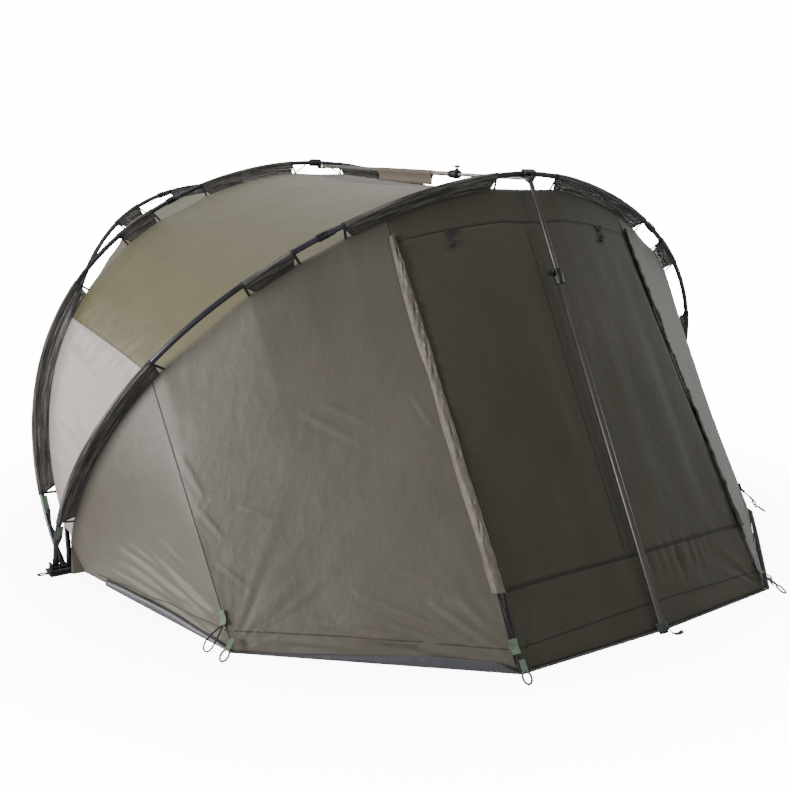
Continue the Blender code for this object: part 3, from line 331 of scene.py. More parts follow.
def sweptShape(path, section, normals=None, scales=None, looped=False):
    # a section of (aside, off) points carried along a path
    count, sides = len(path), len(section)
    verts, uvs, faces = [], [], []
    normal, run = None, 0.0
    rim = [0.0]
    for k in range(sides):
        rim.append(rim[-1] + (Vector(section[k]) - Vector(section[k - 1])).length)
    for i, point in enumerate(path):
        ahead = path[(i + 1) % count] if looped or i < count - 1 else point
        behind = path[i - 1] if looped or i else point
        along = (ahead - behind).normalized()
        if normals:
            normal = normals[i].copy()
        elif normal is None:
            normal = along.orthogonal()
        normal = (normal - along * normal.dot(along)).normalized()
        aside = along.cross(normal)
        scale = scales[i] if scales else 1.0
        for k, (x, y) in enumerate(section):
            verts.append(point + aside * x * scale + normal * y * scale)
            uvs.append((rim[k], run))
        run += (ahead - point).length
    for i in range(count if looped else count - 1):
        j = (i + 1) % count
        for k in range(sides):
            m = (k + 1) % sides
            faces.append((i * sides + k, i * sides + m, j * sides + m, j * sides + k))
    if not looped:
        faces.append(tuple(range(sides))[::-1])
        faces.append(tuple((count - 1) * sides + k for k in range(sides)))
    return verts, faces, uvs


def turnedShape(profile, matrix, sides=32):
    # (radius, height) points turned about the matrix's Z
    verts, faces = [], []
    for radius, height in profile:
        for k in range(sides):
            turn = 2 * math.pi * k / sides
            verts.append(matrix @ Vector((radius * math.cos(turn), radius * math.sin(turn), height)))
    for i in range(len(profile) - 1):
        for k in range(sides):
            m = (k + 1) % sides
            faces.append((i * sides + k, i * sides + m, (i + 1) * sides + m, (i + 1) * sides + k))
    faces.append(tuple(range(sides))[::-1])
    faces.append(tuple((len(profile) - 1) * sides + k for k in range(sides)))
    uvs = [(i % sides / sides, i // sides * 0.01) for i in range(len(verts))]
    return verts, faces, uvs


def circle(radius, sides=20):
    turns = [2 * math.pi * i / sides for i in range(sides)]
    return [(radius * math.cos(turn), radius * math.sin(turn)) for turn in turns]


def strap(width, thickness):
    # a flat section with its corners cut off
    w, t, r = width / 2, thickness / 2, thickness * 0.3
    return [(w, -t + r), (w, t - r), (w - r, t), (-w + r, t),
            (-w, t - r), (-w, -t + r), (-w + r, -t), (w - r, -t)]


def strapShape(path, width, thickness, normal):
    return sweptShape(path, strap(width, thickness), [normal] * len(path))


def mirrored(rings):
    # (radius, height) rings from the end inwards, and the same at the other end
    return [(radius, -height) for radius, height in rings] + list(reversed(rings))


def frameAt(origin, zAxis, xAxis=None):
    # a matrix with its Z along zAxis, and its X as near xAxis as that allows
    z = zAxis.normalized()
    x = (xAxis or across) - (xAxis or across).dot(z) * z
    x.normalize()
    return Matrix.Translation(origin) @ Matrix((x, z.cross(x), z)).transposed().to_4x4()


# Shader sockets as numbers
class Wire:
    def __init__(self, paint, socket):
        self.paint = paint
        self.socket = socket

    def __add__(self, other):
        return self.paint.sums("ADD", self, other)

    def __sub__(self, other):
        return self.paint.sums("SUBTRACT", self, other)

    def __rsub__(self, other):
        return self.paint.sums("SUBTRACT", other, self)

    def __mul__(self, other):
        return self.paint.sums("MULTIPLY", self, other)

    def __truediv__(self, other):
        return self.paint.sums("DIVIDE", self, other)

    def __rtruediv__(self, other):
        return self.paint.sums("DIVIDE", other, self)

    def __gt__(self, other):
        return self.paint.sums("GREATER_THAN", self, other)

    __radd__ = __add__
    __rmul__ = __mul__


class Paint:
    def __init__(self, name):
        self.material = bpy.data.materials.new(name)
        self.material.use_nodes = True
        self.tree = self.material.node_tree
        self.shader = self.tree.nodes["Principled BSDF"]
        self.spot = self.node("TexCoord", {}, {}, "Object")

    def node(self, kind, settings, values, out=0):
        made = self.tree.nodes.new("ShaderNode" + kind)
        for key, value in settings.items():
            setattr(made, key, value)
        for key, value in values.items():
            self.put(made.inputs[key], value)
        return Wire(self, made.outputs[out])

    def put(self, socket, value):
        if isinstance(value, Wire):
            self.tree.links.new(value.socket, socket)
        else:
            socket.default_value = value

    def sums(self, operation, *parts):
        return self.node("Math", {"operation": operation}, dict(enumerate(parts)))

    def clear(self, value):
        # held between 0 and 1
        return self.node("Clamp", {}, {"Value": value})

    def mix(self, share, first, second):
        return self.node("Mix", {"data_type": "RGBA"}, {0: share, 6: first, 7: second}, 2)

    def noise(self, scale, detail=3.0, place=None, rough=0.55):
        values = {"Vector": place or self.spot, "Scale": scale, "Detail": detail, "Roughness": rough}
        return self.node("TexNoise", {}, values)

    def stretch(self, place, factors):
        return self.node("VectorMath", {"operation": "MULTIPLY"}, {0: place, 1: factors})

    def uv(self):
        # the UV place in metres, as a vector and as its two parts
        place = self.node("UVMap", {}, {})
        parts = self.node("SeparateXYZ", {}, {"Vector": place})
        return place, parts, Wire(self, parts.socket.node.outputs["Y"])

    def bump(self, height, distance=0.001):
        return self.node("Bump", {}, {"Height": height, "Distance": distance, "Strength": 1.0}, "Normal")

    def done(self, **values):
        names = {"colour": "Base Color", "rough": "Roughness", "metal": "Metallic", "alpha": "Alpha",
                 "normal": "Normal", "coat": "Coat Weight", "coatRough": "Coat Roughness",
                 "sheen": "Sheen Weight", "sheenRough": "Sheen Roughness", "shine": "Specular IOR Level"}
        for key, value in values.items():
            self.put(self.shader.inputs[names[key]], value)
        return self


def rgb(red, green, blue):
    # screen colour out of 255 to linear light
    return (*((part / 255) ** 2.2 for part in (red, green, blue)), 1)


weave = {"threads": 5200, "barEvery": 0.004, "barFrom": 0.0037, "fine": 420}


def clothPaint(name, dark, light, rough=0.55, sheen=0.15, creases=0.5, scale=1.0, coat=0.0, shine=0.4):
    # coated woven cloth: a tight weave with thicker threads every few millimetres
    paint = Paint(name)
    _, u, v = paint.uv()
    tone = paint.noise(1.7 * scale, 4)
    patch = paint.noise(9 * scale, 5)
    fine = paint.noise(weave["fine"], 2)
    shade = paint.clear((tone - 0.5) * 1.4 + (patch - 0.5) * 0.5 + (fine - 0.5) * 0.5 + 0.5)
    colour = paint.mix(shade, dark, light)
    threads = paint.sums("SINE", u * weave["threads"]) * paint.sums("SINE", v * weave["threads"])
    bars = paint.sums("PINGPONG", u, weave["barEvery"]) > weave["barFrom"]
    bars = bars + (paint.sums("PINGPONG", v, weave["barEvery"]) > weave["barFrom"])
    broad = paint.noise(5.5, 3, paint.stretch(paint.spot, (1, 1, 0.55)))
    small = paint.noise(24, 5, paint.stretch(paint.spot, (1, 1, 0.5)))
    crinkle = paint.sums("ABSOLUTE", paint.noise(17, 4, paint.stretch(paint.spot, (1, 1, 0.45)), 0.5) - 0.5)
    height = broad * 2.0 * creases + small * 2.2 * creases - crinkle * 5.0 * creases
    height = height + threads * 0.035 + bars * 0.05
    return paint.done(colour=colour, rough=paint.clear((patch - 0.5) * 0.18 + rough), sheen=sheen,
                      sheenRough=0.45, normal=paint.bump(height), coat=coat, coatRough=0.35, shine=shine)


def webbingPaint(name, dark, light, rough=0.8):
    # ribs across the strap and fine cords along it
    paint = Paint(name)
    _, u, v = paint.uv()
    ribEvery, cordEvery = 0.0011, 0.0009
    weft = paint.sums("PINGPONG", v, ribEvery) / ribEvery
    cords = paint.sums("PINGPONG", u, cordEvery) / cordEvery
    worn = paint.noise(60, 4)
    colour = paint.mix(paint.clear(weft * 0.35 + cords * 0.2 + worn * 0.6 - 0.1), dark, light)
    height = weft * 0.5 + cords * 0.3
    return paint.done(colour=colour, rough=rough, sheen=0.2, normal=paint.bump(height, 0.0006))


def seamPaint(name, dark, light, thread):
    # a sewn band with one row of stitches and a slight pucker
    paint = Paint(name)
    _, u, v = paint.uv()
    stitch = {"from": 0.0025, "wide": 0.0006, "every": 0.0022, "gap": 0.0007}
    puckers = paint.noise(55, 3)
    offRow = paint.sums("ABSOLUTE", paint.sums("PINGPONG", u, 2 * stitch["from"]) - stitch["from"])
    row = 1 - paint.clear(offRow / stitch["wide"])
    dash = paint.sums("PINGPONG", v, stitch["every"]) > stitch["gap"]
    sewn = paint.clear(row * dash)
    colour = paint.mix(sewn * 0.7, paint.mix(puckers, dark, light), thread)
    return paint.done(colour=colour, rough=0.7, sheen=0.1, shine=0.3,
                      normal=paint.bump(puckers * 1.6 + sewn * 0.4 - row * 0.4))


def meshPaint(name, dark, light, holes):
    # open knit cloth: threads with small holes between, and light and dark streaks along it that paint the
    # shading of the folds it lies in, and raise its bump too
    paint = Paint(name)
    place, u, v = paint.uv()
    threads = 2600
    first = paint.sums("SINE", (u + v) * threads)
    second = paint.sums("SINE", (u - v) * threads)
    hole = (first * second) > 0.1
    foldShadeStreaks = paint.noise(1.0, 3, paint.stretch(place, (5.0, 210.0, 1.0)))
    worn = paint.noise(16, 4)
    # the colour follows the fold streaks: painted fold shade
    shade = paint.clear((foldShadeStreaks - 0.45) * 4 + (worn - 0.5) * 0.6)
    return paint.done(colour=paint.mix(shade, dark, light), rough=0.8, sheen=0.1, shine=0.3,
                      alpha=1 - hole * holes,
                      normal=paint.bump(worn * 0.9 + foldShadeStreaks * 1.2 + first * 0.1 + second * 0.1))


def hardPaint(name, dark, light, rough, metal=0.0, grain=0.0, scale=30.0, coat=0.0):
    # metal, plastic or rubber, with a fine grain and a few rougher scuffs
    paint = Paint(name)
    worn = paint.noise(scale, 5)
    fine = paint.noise(scale * 18, 2)
    scuffs = paint.clear((paint.noise(scale * 5, 6, None, 0.7) - 0.62) * 6)
    colour = paint.mix(paint.clear(worn + scuffs * 0.3), dark, light)
    return paint.done(colour=colour, rough=paint.clear((worn - 0.5) * 0.16 + scuffs * 0.12 + rough),
                      metal=metal, normal=paint.bump(fine * grain + worn * 0.1, 0.0004), coat=coat,
                      coatRough=0.2)


paints = {
    "pole": hardPaint("pole anodised", rgb(44, 45, 50), rgb(78, 80, 88), 0.3, metal=0.85, grain=0.1, scale=14,
                      coat=0.3),
    "ferrule": hardPaint("ferrule anodised", rgb(28, 29, 33), rgb(48, 49, 55), 0.3, metal=0.7, grain=0.1,
                         scale=20, coat=0.3),
    "storm": hardPaint("brace pole metal", rgb(62, 60, 59), rgb(84, 81, 79), 0.42, metal=0.6, grain=0.12,
                       scale=12, coat=0.1),
    "bar": hardPaint("bar metal", rgb(140, 134, 130), rgb(178, 171, 166), 0.36, metal=0.8, grain=0.12,
                     scale=12),
    "steel": hardPaint("ring wire", rgb(72, 86, 78), rgb(104, 116, 106), 0.4, metal=0.4, grain=0.1, scale=60),
    "plastic": hardPaint("moulded plastic", rgb(18, 18, 20), rgb(32, 32, 35), 0.34, grain=0.5, scale=40),
    "rubber": hardPaint("rubber", rgb(20, 22, 20), rgb(38, 42, 38), 0.75, grain=0.7, scale=60),
    "mesh": meshPaint("sleeve mesh", rgb(60, 58, 55), rgb(140, 137, 132), holes=0.45),
    "roof": clothPaint("roof cloth", rgb(80, 76, 53), rgb(93, 88, 62), 0.48, sheen=0.16),
    "side": clothPaint("side cloth", rgb(80, 76, 68), rgb(93, 89, 80), 0.44, sheen=0.22),
    # the cloth below the roof seam is paler, and lightened further to paint the sheen that the light from the
    # left gives it
    "lowRoofPaintedSheen": clothPaint("low roof cloth", rgb(144, 135, 130), rgb(160, 150, 145), 0.42, sheen=0.5),
    # the front cloth is a darker copy of the side cloth: the difference paints the shade that the front lies
    # in
    "front": clothPaint("front cloth", rgb(66, 64, 55), rgb(79, 77, 67), 0.62, sheen=0.14, creases=0.7,
                        shine=0.15),
    # the two flap cloths are one cloth lit and shaded: the left flap's paler colour paints the light on it,
    # the right flap's darker colour paints its shade
    "flap": clothPaint("flap cloth", rgb(86, 81, 73), rgb(104, 97, 88), 0.5, sheen=0.25, creases=0.8,
                       scale=3),
    "shadedRightFlap": clothPaint("inner flap cloth", rgb(52, 49, 39), rgb(64, 61, 49), 0.55, sheen=0.12,
                           creases=0.6, scale=3, shine=0.25),
    "wrap": clothPaint("wrap cloth", rgb(84, 76, 67), rgb(102, 93, 82), 0.6, sheen=0.2, scale=3),
    "sheet": clothPaint("groundsheet cloth", rgb(50, 50, 56), rgb(78, 78, 85), 0.34, sheen=0.1, creases=1.2,
                        scale=2, coat=0.25, shine=0.5),
    "webbing": webbingPaint("sage webbing", rgb(62, 82, 66), rgb(104, 124, 104)),
    "darkWebbing": webbingPaint("dark green webbing", rgb(36, 48, 42), rgb(60, 74, 66)),
    "blackWebbing": webbingPaint("black webbing", rgb(17, 18, 20), rgb(36, 37, 40)),
    "elastic": webbingPaint("elastic cord", rgb(12, 12, 13), rgb(32, 32, 34), 0.7),
    "roofSeam": seamPaint("roof seam", rgb(64, 60, 46), rgb(84, 79, 62), rgb(52, 49, 38)),
    "sideSeam": seamPaint("side seam", rgb(56, 51, 46), rgb(76, 70, 64), rgb(42, 39, 35)),
    # the front seams are darker than the side seams in step with the front cloth: painted shade
    "frontSeam": seamPaint("front seam", rgb(38, 36, 30), rgb(52, 50, 42), rgb(26, 25, 21)),
    "zip": hardPaint("zip teeth", rgb(20, 20, 20), rgb(38, 38, 37), 0.4, grain=0.4, scale=200),
}
print("materials made:", len(paints))


frontFold = {"joint": "front_rib_fold", "axis": front.back, "anchor": front.point(0), "keep": 0.12}


def settle(obj, paint, body, stands=(), flattens=False):
    # gives the piece its material, its CAD body and the nodes that it stands for
    obj.data.materials.clear()
    obj.data.materials.append(paints[paint].material)
    if body:
        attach(obj, body)
    if stands:
        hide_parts(*stands)
    if flattens:
        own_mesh(obj)
    return obj


def sheetFacts(obj):
    # works out a sheet's flat width, the mean width where it narrows to its middle row; nothing more is done
    # with it
    width, length = obj["flat"]
    area = obj["area"]
    width = max(width, area / length)


# Poles: three to a rib, the top one with a swaged ferrule at each end
poles = {"radius": 0.009, "ferrule": 0.0118, "ferruleLength": 0.055, "joint": 10 / halfBays, "gap": 0.0006,
         "plug": 0.0108, "plugFrom": 0.012, "plugTo": 0.04, "collar": 0.0009, "facets": 28}


def ribTube(rib, places, radius, scales=None):
    return sweptShape([rib.point(p) for p in places], circle(radius, poles["facets"]), None, scales)


for rib in ribs:
    joint = poles["joint"]
    swage = rib.share(joint, poles["ferruleLength"])
    ends = [joint - swage * 1.07, joint - swage, joint - swage * 0.03, joint]
    between = spaced(-joint + swage * 1.2, joint - swage * 1.2, 70)
    wide = poles["ferrule"] / poles["radius"]
    scales = [wide * 0.97, wide, wide, 1.0] + [1.0] * 71 + [1.0, wide, wide, wide * 0.97]
    shape = ribTube(rib, [-place for place in reversed(ends)] + between + ends, poles["radius"], scales)
    settle(newObject(f"{rib.name}_top_tube", *shape), "pole", rib.body, [f"{rib.name}_pole_top"])
    capShapes, collarShapes = [], []
    for side, label in bothSides:
        start = joint + rib.share(joint, poles["gap"])
        tube = newObject(f"{rib.name}_{label}_tube",
                         *ribTube(rib, [side * p for p in spaced(1, start, 90)], poles["radius"]))
        settle(tube, "pole", rib.body, [f"{rib.name}_pole_{label}"])
        # eye that the hub pin passes through, and the plug that holds it in the tube
        eye = mirrored([(0.0045, 0.0098), (0.0118, 0.0098), (0.0125, 0.009)])
        capShapes.append(turnedShape(eye, frameAt(across * side * rib.foot + hubAxis, across, up)))
        plugEnds = [1 - rib.share(0.98, poles[key]) for key in ("plugFrom", "plugTo")]
        plug = [side * p for p in spaced(*plugEnds, 6)]
        capShapes.append(ribTube(rib, plug, poles["plug"], [0.98] + [1.0] * 5 + [0.94]))
        # black collar on the ferrule, with its spring button
        outside = poles["ferrule"] + poles["collar"]
        collar = [side * p for p in spaced(joint - swage * 0.62, joint + swage * 0.06, 8)]
        collarShapes.append(ribTube(rib, collar, outside, [0.95] + [1.0] * 7 + [0.95]))
        spot = side * (joint - swage * 0.3)
        outwards = -rib.inward(spot)
        button = [(0.0034, -0.001), (0.0034, 0.0006), (0.0026, 0.0015), (0.001, 0.0019)]
        collarShapes.append(turnedShape(button, frameAt(rib.point(spot) + outwards * outside, outwards), 16))
    settle(together(f"{rib.name}_foot_plugs", capShapes), "plastic", rib.body)
    settle(together(f"{rib.name}_joint_collars", collarShapes), "ferrule", rib.body)
print("poles made")


# Mesh sleeves folded round the poles and sewn to a tail, with webbing across their slanted ends
sleeves = {"wrapRadius": 0.0101, "slack": 0.0012, "mouth": 50, "neck": 0.013, "tail": 0.051, "cut": 0.02,
           "foldRise": 0.0015, "foldLength": 0.0021, "thickness": 0.0006, "cuff": 0.0114, "cuffHalf": 0.005,
           "strap": 0.009, "strapThickness": 0.0016, "strapLean": 0.004, "strapAhead": 0.0014,
           "strapTop": 0.008, "strapFoot": 0.052, "binding": 0.005, "bindingThickness": 0.0042,
           "bindingTop": 0.01}
sleeveBays = {
    "front": {"lower": (24, 17), "tab": (13, 11), "top": (9, 2)},
    "middle": {"lower": (24, 16), "tab": (13, 11), "top": (8, 2)},
    "rear": {"lower": (24, 19), "tab": (14, 12)},
}


def sleeveSpan(rib, start, end):
    # its ends, middle and half length as places, and how far the tail is drawn in at each end
    start, end = start / halfBays, end / halfBays
    centre, half = (start + end) / 2, abs(end - start) / 2
    return start, end, centre, half, min(0.5, rib.share(abs(centre), sleeves["cut"]) / half)


def sleeveObject(name, rib, span, seed):
    start, end, centre, half, draw = span
    depths = spaced(sleeves["tail"], sleeves["neck"], 8)
    turns = spaced(math.radians(sleeves["mouth"]), math.radians(360 - sleeves["mouth"]), 18)
    rows = []
    for place in spaced(start, end, max(16, int(half * 2 * 100))):
        spot = rib.point(place)
        loose = sleeves["slack"] + sleeves["slack"] * noise.noise(spot * 22 + Vector((seed, 0, 0)))
        radius = sleeves["wrapRadius"] + loose * 0.5
        phase = 5 * noise.noise(spot * 4 + Vector((0, seed, 0)))
        row = []
        for sign, way in ((1, depths), (0, turns), (-1, depths[::-1])):
            for value in way:
                if sign:
                    # the tail's two layers, with long folds in them
                    rise = (value - sleeves["neck"]) / (sleeves["tail"] - sleeves["neck"])
                    fold = math.sin(value / sleeves["foldLength"] + phase) * sleeves["foldRise"]
                    fold *= math.sin(math.pi * rise)
                    inset, ahead = value, sign * (0.0009 + 0.002 * (1 - rise) ** 2) + fold
                else:
                    rise, inset, ahead = 0, radius * math.cos(value), radius * math.sin(value)
                row.append(rib.point(mixed(place, centre, draw * max(0.0, rise)), inset, ahead))
        rows.append(row)
    return gridObject(name, rows, sleeves["thickness"], 0)


def sleeveEnds(rib, span):
    # for both ends: a cuff on the pole, webbing down to the cloth, and the bound slanted edge
    start, end, centre, half, draw = span
    found = []
    for place in (start, end):
        step = rib.share(place, sleeves["cuffHalf"])
        cuff = [rib.point(p) for p in spaced(place - step, place + step, 4)]
        found.append(sweptShape(cuff, circle(sleeves["cuff"], 20)))
        lean = (place - centre) / half * rib.share(place, sleeves["strapLean"])
        path = []
        for s in spaced(0, 1, 6):
            inset = mixed(sleeves["strapTop"], sleeves["strapFoot"], s)
            path.append(rib.point(place + lean * s, inset, sleeves["strapAhead"]))
        found.append(strapShape(path, sleeves["strap"], sleeves["strapThickness"], rib.back))
        path = []
        for s in spaced(0, 1, 8):
            inset = mixed(sleeves["bindingTop"], sleeves["tail"], s)
            path.append(rib.point(mixed(place, centre, draw * s), inset))
        found.append(strapShape(path, sleeves["binding"], sleeves["bindingThickness"], rib.back))
    return found


def addSleeve(node, rib, start, end):
    span = sleeveSpan(rib, start, end)
    obj = sleeveObject(node + "_cloth", rib, span, len(node) + abs(start))
    settle(obj, "mesh", rib.body, [node])
    sheetFacts(obj)
    return sleeveEnds(rib, span)


for rib in ribs:
    ends = []
    for side, label in bothSides:
        for part, (outer, inner) in sleeveBays[rib.name].items():
            ends += addSleeve(f"{rib.name}_{part}_sleeve_{label}", rib, side * outer, side * inner)
    if rib is rear:
        ends += addSleeve("rear_top_sleeve", rear, -9, 9)
    settle(together(f"{rib.name}_sleeve_webbing", ends), "blackWebbing", rib.body)
print("sleeves made")


# Front cloth: side panels, head, door and sill
pegs = {side: groundPoint(side * cut["corner"], frontHem) for side in (-1, 1)}
zipFeet = {side: groundPoint(side * cut["zip"], frontHem) for side in (-1, 1)}
hemWay = {side: (pegs[side] - zipFeet[side]).normalized() for side in (-1, 1)}
sidePlain = wallBase(front, frontHem, sag=0.012)
frontPlain = wallBase(front, frontHem, sag=0.008)
# (place, share) where a fold starts and ends, its width and its height
sideFolds = [
    ((0.828, 0.57), (0.697, 0.88), 0.011, 0.009), ((0.858, 0.57), (0.75, 0.87), 0.012, 0.009),
    ((0.795, 0.61), (0.691, 0.9), 0.010, 0.007), ((0.911, 0.74), (0.70, 0.985), 0.014, 0.010),
    ((0.88, 0.68), (0.715, 0.935), 0.012, 0.008), ((0.759, 0.58), (0.72, 0.72), 0.009, 0.004),
    ((0.925, 0.80), (0.80, 0.985), 0.010, 0.006), ((0.667, 0.3), (0.650, 0.47), 0.008, 0.004),
    ((0.664, 0.50), (0.640, 0.62), 0.007, 0.003), ((0.66, 0.70), (0.62, 0.80), 0.007, 0.003),
    ((0.46, 0.84), (0.268, 0.97), 0.010, 0.008), ((0.357, 0.86), (0.271, 0.96), 0.009, 0.008),
    ((0.313, 0.86), (0.266, 0.93), 0.010, 0.006), ((0.54, 0.90), (0.30, 0.985), 0.012, 0.006),
    ((0.40, 0.78), (0.32, 0.84), 0.009, 0.003), ((0.47, 0.37), (0.40, 0.48), 0.010, 0.0035),
    ((0.44, 0.36), (0.37, 0.46), 0.009, 0.003), ((0.60, 0.55), (0.56, 0.60), 0.007, 0.003),
    ((0.52, 0.945), (0.36, 0.955), 0.007, 0.005), ((0.42, 0.925), (0.29, 0.965), 0.007, 0.006),
    ((0.62, 0.955), (0.47, 0.97), 0.007, 0.004), ((0.36, 0.90), (0.27, 0.95), 0.007, 0.006),
    ((0.50, 0.90), (0.37, 0.93), 0.008, 0.004), ((0.31, 0.40), (0.287, 0.50), 0.007, 0.003),
]
foldLines = {}
for side in (-1, 1):
    foldLines[side] = [(sidePlain(side * p, s), sidePlain(side * q, t), width, depth)
                       for (p, s), (q, t), width, depth in sideFolds]
# (size, depth, seed) of the slack in each cloth
sideSlack = ((0.5, 0.006, 3), (0.16, 0.0022, 7), (0.05, 0.0005, 8))
frontSlack = ((0.45, 0.005, 11), (0.15, 0.0012, 13))


def sideWrinkles(place, share, spot):
    side = -1 if place < 0 else 1
    size = abs(place)
    rise = slackLayers(spot, sideSlack, side)
    rise += fan(spot, pegs[side], hemWay[side], reach=0.2, depth=0.004, seed=2.3 + side)
    rise += fan(spot, zipFeet[side], hemWay[side], reach=0.2, depth=0.004, seed=5.1 + side)
    rise += hemPuckers(spot, spot.dot(hemWay[side]) / 2.2, height=0.3, size=0.06, depth=0.004, seed=9 + side)
    for start, end, width, depth in foldLines[side]:
        if (spot - start).length < 0.5 or (spot - end).length < 0.5:
            rise += crease(spot, start, end, width, depth)
    edge = calm(size, 0.2, cut["hem"], 0.03) * calm(share, 0, 1.02, 0.05)
    # the seam that runs up from the side peg holds the cloth flat
    return rise * edge * (1 - 0.85 * math.exp(-((size - cut["corner"]) / 0.006) ** 2))


def frontWrinkles(place, share, spot):
    rise = slackLayers(spot, frontSlack)
    left = fan(spot, zipFeet[-1], -across, reach=0.2, depth=0.004, seed=4.4)
    right = fan(spot, zipFeet[1], across, reach=0.2, depth=0.004, seed=6.4)
    rise += left + right
    # long upright folds in the door, and gathers under the sill seam
    upright = slack(Vector((spot.x, 0, spot.z / 9)), size=0.07, depth=0.0045, seed=15)
    rise += upright * calm(share, 0.08, cut["sill"], 0.12)
    gathers = max(0.0, 1 - abs(share - 0.875) / 0.07) * calm(place, -0.03, 0.19, 0.05)
    rise += gathers * slack(Vector((spot.x, 0, spot.z / 5)), size=0.024, depth=0.007, seed=19)
    rise += hemPuckers(spot, spot.x / 2.5, height=0.2, size=0.05, depth=0.003, seed=17)
    return rise * calm(share, 0, 1.02, 0.04) * calm(abs(place), -1, abs(zipPlace(1, share)), 0.02)


sideCloth = Cloth(sidePlain, sideWrinkles)
frontCloth = Cloth(frontPlain, frontWrinkles)
clothThickness = 0.0012


def snapped(places, marks):
    # the nearest place moved onto each mark
    for mark in marks:
        if min(places) < mark < max(places):
            places[min(range(len(places)), key=lambda i: abs(places[i] - mark))] = mark
    return places


# gaps are in places and shares: between the cloth and the zips, and between the panels
panelGrid = {"side": 150, "besideZip": 8, "zipFrom": 0.30, "down": 130, "front": 130, "headHalf": 0.27,
             "gap": 0.0002, "seamGap": 0.0004}
hubCorner = Vector((0.047, 0.006, 0))
shares = spaced(0, 1, panelGrid["down"])
for side, label in bothSides:
    outer = spaced(cut["hem"], panelGrid["zipFrom"], panelGrid["side"])
    outer = snapped(outer, [cut["corner"]] + [bay / halfBays for bay in (17, 13, 11, 9)])
    rows = []
    for part in (1, 0.8, 0.6, 0.4, 0.2):
        # the corner that reaches out to the hub block
        reach = Vector((side * hubCorner.x, hubCorner.y, 0)) * part
        rows.append([sideCloth.point(side * cut["hem"], s) + reach * s for s in shares])
    for place in outer:
        rows.append([sideCloth.point(side * place, s) for s in shares])
    for k in range(1, panelGrid["besideZip"] + 1):
        row = []
        for s in shares:
            beside = zipPlace(side, s) + side * panelGrid["gap"]
            place = mixed(side * panelGrid["zipFrom"], beside, k / panelGrid["besideZip"])
            row.append(sideCloth.point(place, s))
        rows.append(row)
    panel = gridObject(f"side_cloth_{label}", rows, clothThickness)
    settle(panel, "side", "front_rib", [f"side_panel_{label}"], True)
    sheetFacts(panel)


def belowHead(place):
    return headShare(place) + panelGrid["seamGap"]


def aboveDoor(place):
    return headShare(place) - panelGrid["seamGap"]


# each panel's CAD node, body, first and last share, and rows
doorEnd, sillStart = cut["sill"] - panelGrid["seamGap"], cut["sill"] + panelGrid["seamGap"]
panels = {
    "head_cloth": ("front_head_panel", "front_rib", lambda p: 0, aboveDoor, 10),
    "door_cloth": ("door_panel", "door", belowHead, lambda p: doorEnd, 80),
    "sill_cloth": ("front_sill_panel", "front_rib", lambda p: sillStart, lambda p: 1, 26),
}
for name, (node, body, start, end, count) in panels.items():
    rows = []
    for part in spaced(-1, 1, panelGrid["front"]):
        near = part * panelGrid["headHalf"]
        row = []
        for share in spaced(start(near), end(near), count):
            row.append(frontCloth.point(part * (zipPlace(1, share) - panelGrid["gap"]), share))
        rows.append(row)
    panel = gridObject(name, rows, clothThickness)
    # the head, door and sill take the darker front cloth, painted shade
    settle(panel, "front", body, [node], True)
    sheetFacts(panel)
print("front cloth made")


# The roofs, in bands that bend with the ribs and that are paler below the roof seam, partly a paler cloth
# there and partly a painted sheen, and the back
roofSlack = ((0.42, 0.006, 21), (0.13, 0.0015, 23), (0.05, 0.0005, 25))
backSlack = ((0.5, 0.007, 31), (0.16, 0.002, 33))


def roofWrinkles(place, share, spot):
    rise = slackLayers(spot, roofSlack)
    side = clamped((abs(place) - 0.5) / 0.2)
    way = Vector((0, 1, 0.25)).normalized()
    wide = ridges(spot, way, size=0.09, depth=0.005, seed=2.0)
    narrow = ridges(spot, way, size=0.032, depth=0.0016, seed=5.0)
    rise += side * wide + side * narrow
    # the seam between the two colours gathers the cloth into short folds
    pucker = math.exp(-((abs(place) - cut["roofSeam"]) / 0.045) ** 2)
    rise += pucker * 0.0075 * (0.35 - abs(ripple(share * 11 + place * 14, place * 9, 3) * 2))
    rise += pucker * 0.003 * ripple(share * 34 - place * 20, place * 12, 6)
    return rise * calm(share, 0, 1, 0.05) * calm(abs(place), -1, cut["hem"], 0.03)


def backWrinkles(place, share, spot):
    rise = slackLayers(spot, backSlack)
    for side in (-1, 1):
        for mark in (cut["corner"], cut["zip"]):
            foot = groundPoint(side * mark, rearHem)
            rise += fan(spot, foot, across * side, reach=0.25, depth=0.006, seed=3 * side + mark)
    rise += hemPuckers(spot, spot.x / 2.2, height=0.3, size=0.06, depth=0.005, seed=35)
    return rise * calm(share, 0, 1.02, 0.05)


roofCloth = Cloth(roofBase(front, middle, sag=0.02), roofWrinkles)
rearCloth = Cloth(roofBase(middle, rear, sag=0.012), roofWrinkles)
backCloth = Cloth(wallBase(rear, rearHem, sag=0.02), backWrinkles)
# a band's inner and outer place, and its rows across
lowBands = (("a", cut["roofSeam"], 0.76, 26), ("b", 0.76, 0.84, 22), ("c", 0.84, 0.91, 20),
            ("d", 0.91, cut["hem"], 16))
roofBands = {f"left_{letter}": (-outer, -inner, wide) for letter, inner, outer, wide in reversed(lowBands)}
roofBands["top"] = (-cut["roofSeam"], cut["roofSeam"], 190)
roofBands.update({f"right_{letter}": (inner, outer, wide) for letter, inner, outer, wide in lowBands})
backBands = {"whole": (-cut["hem"], cut["hem"], 280)}
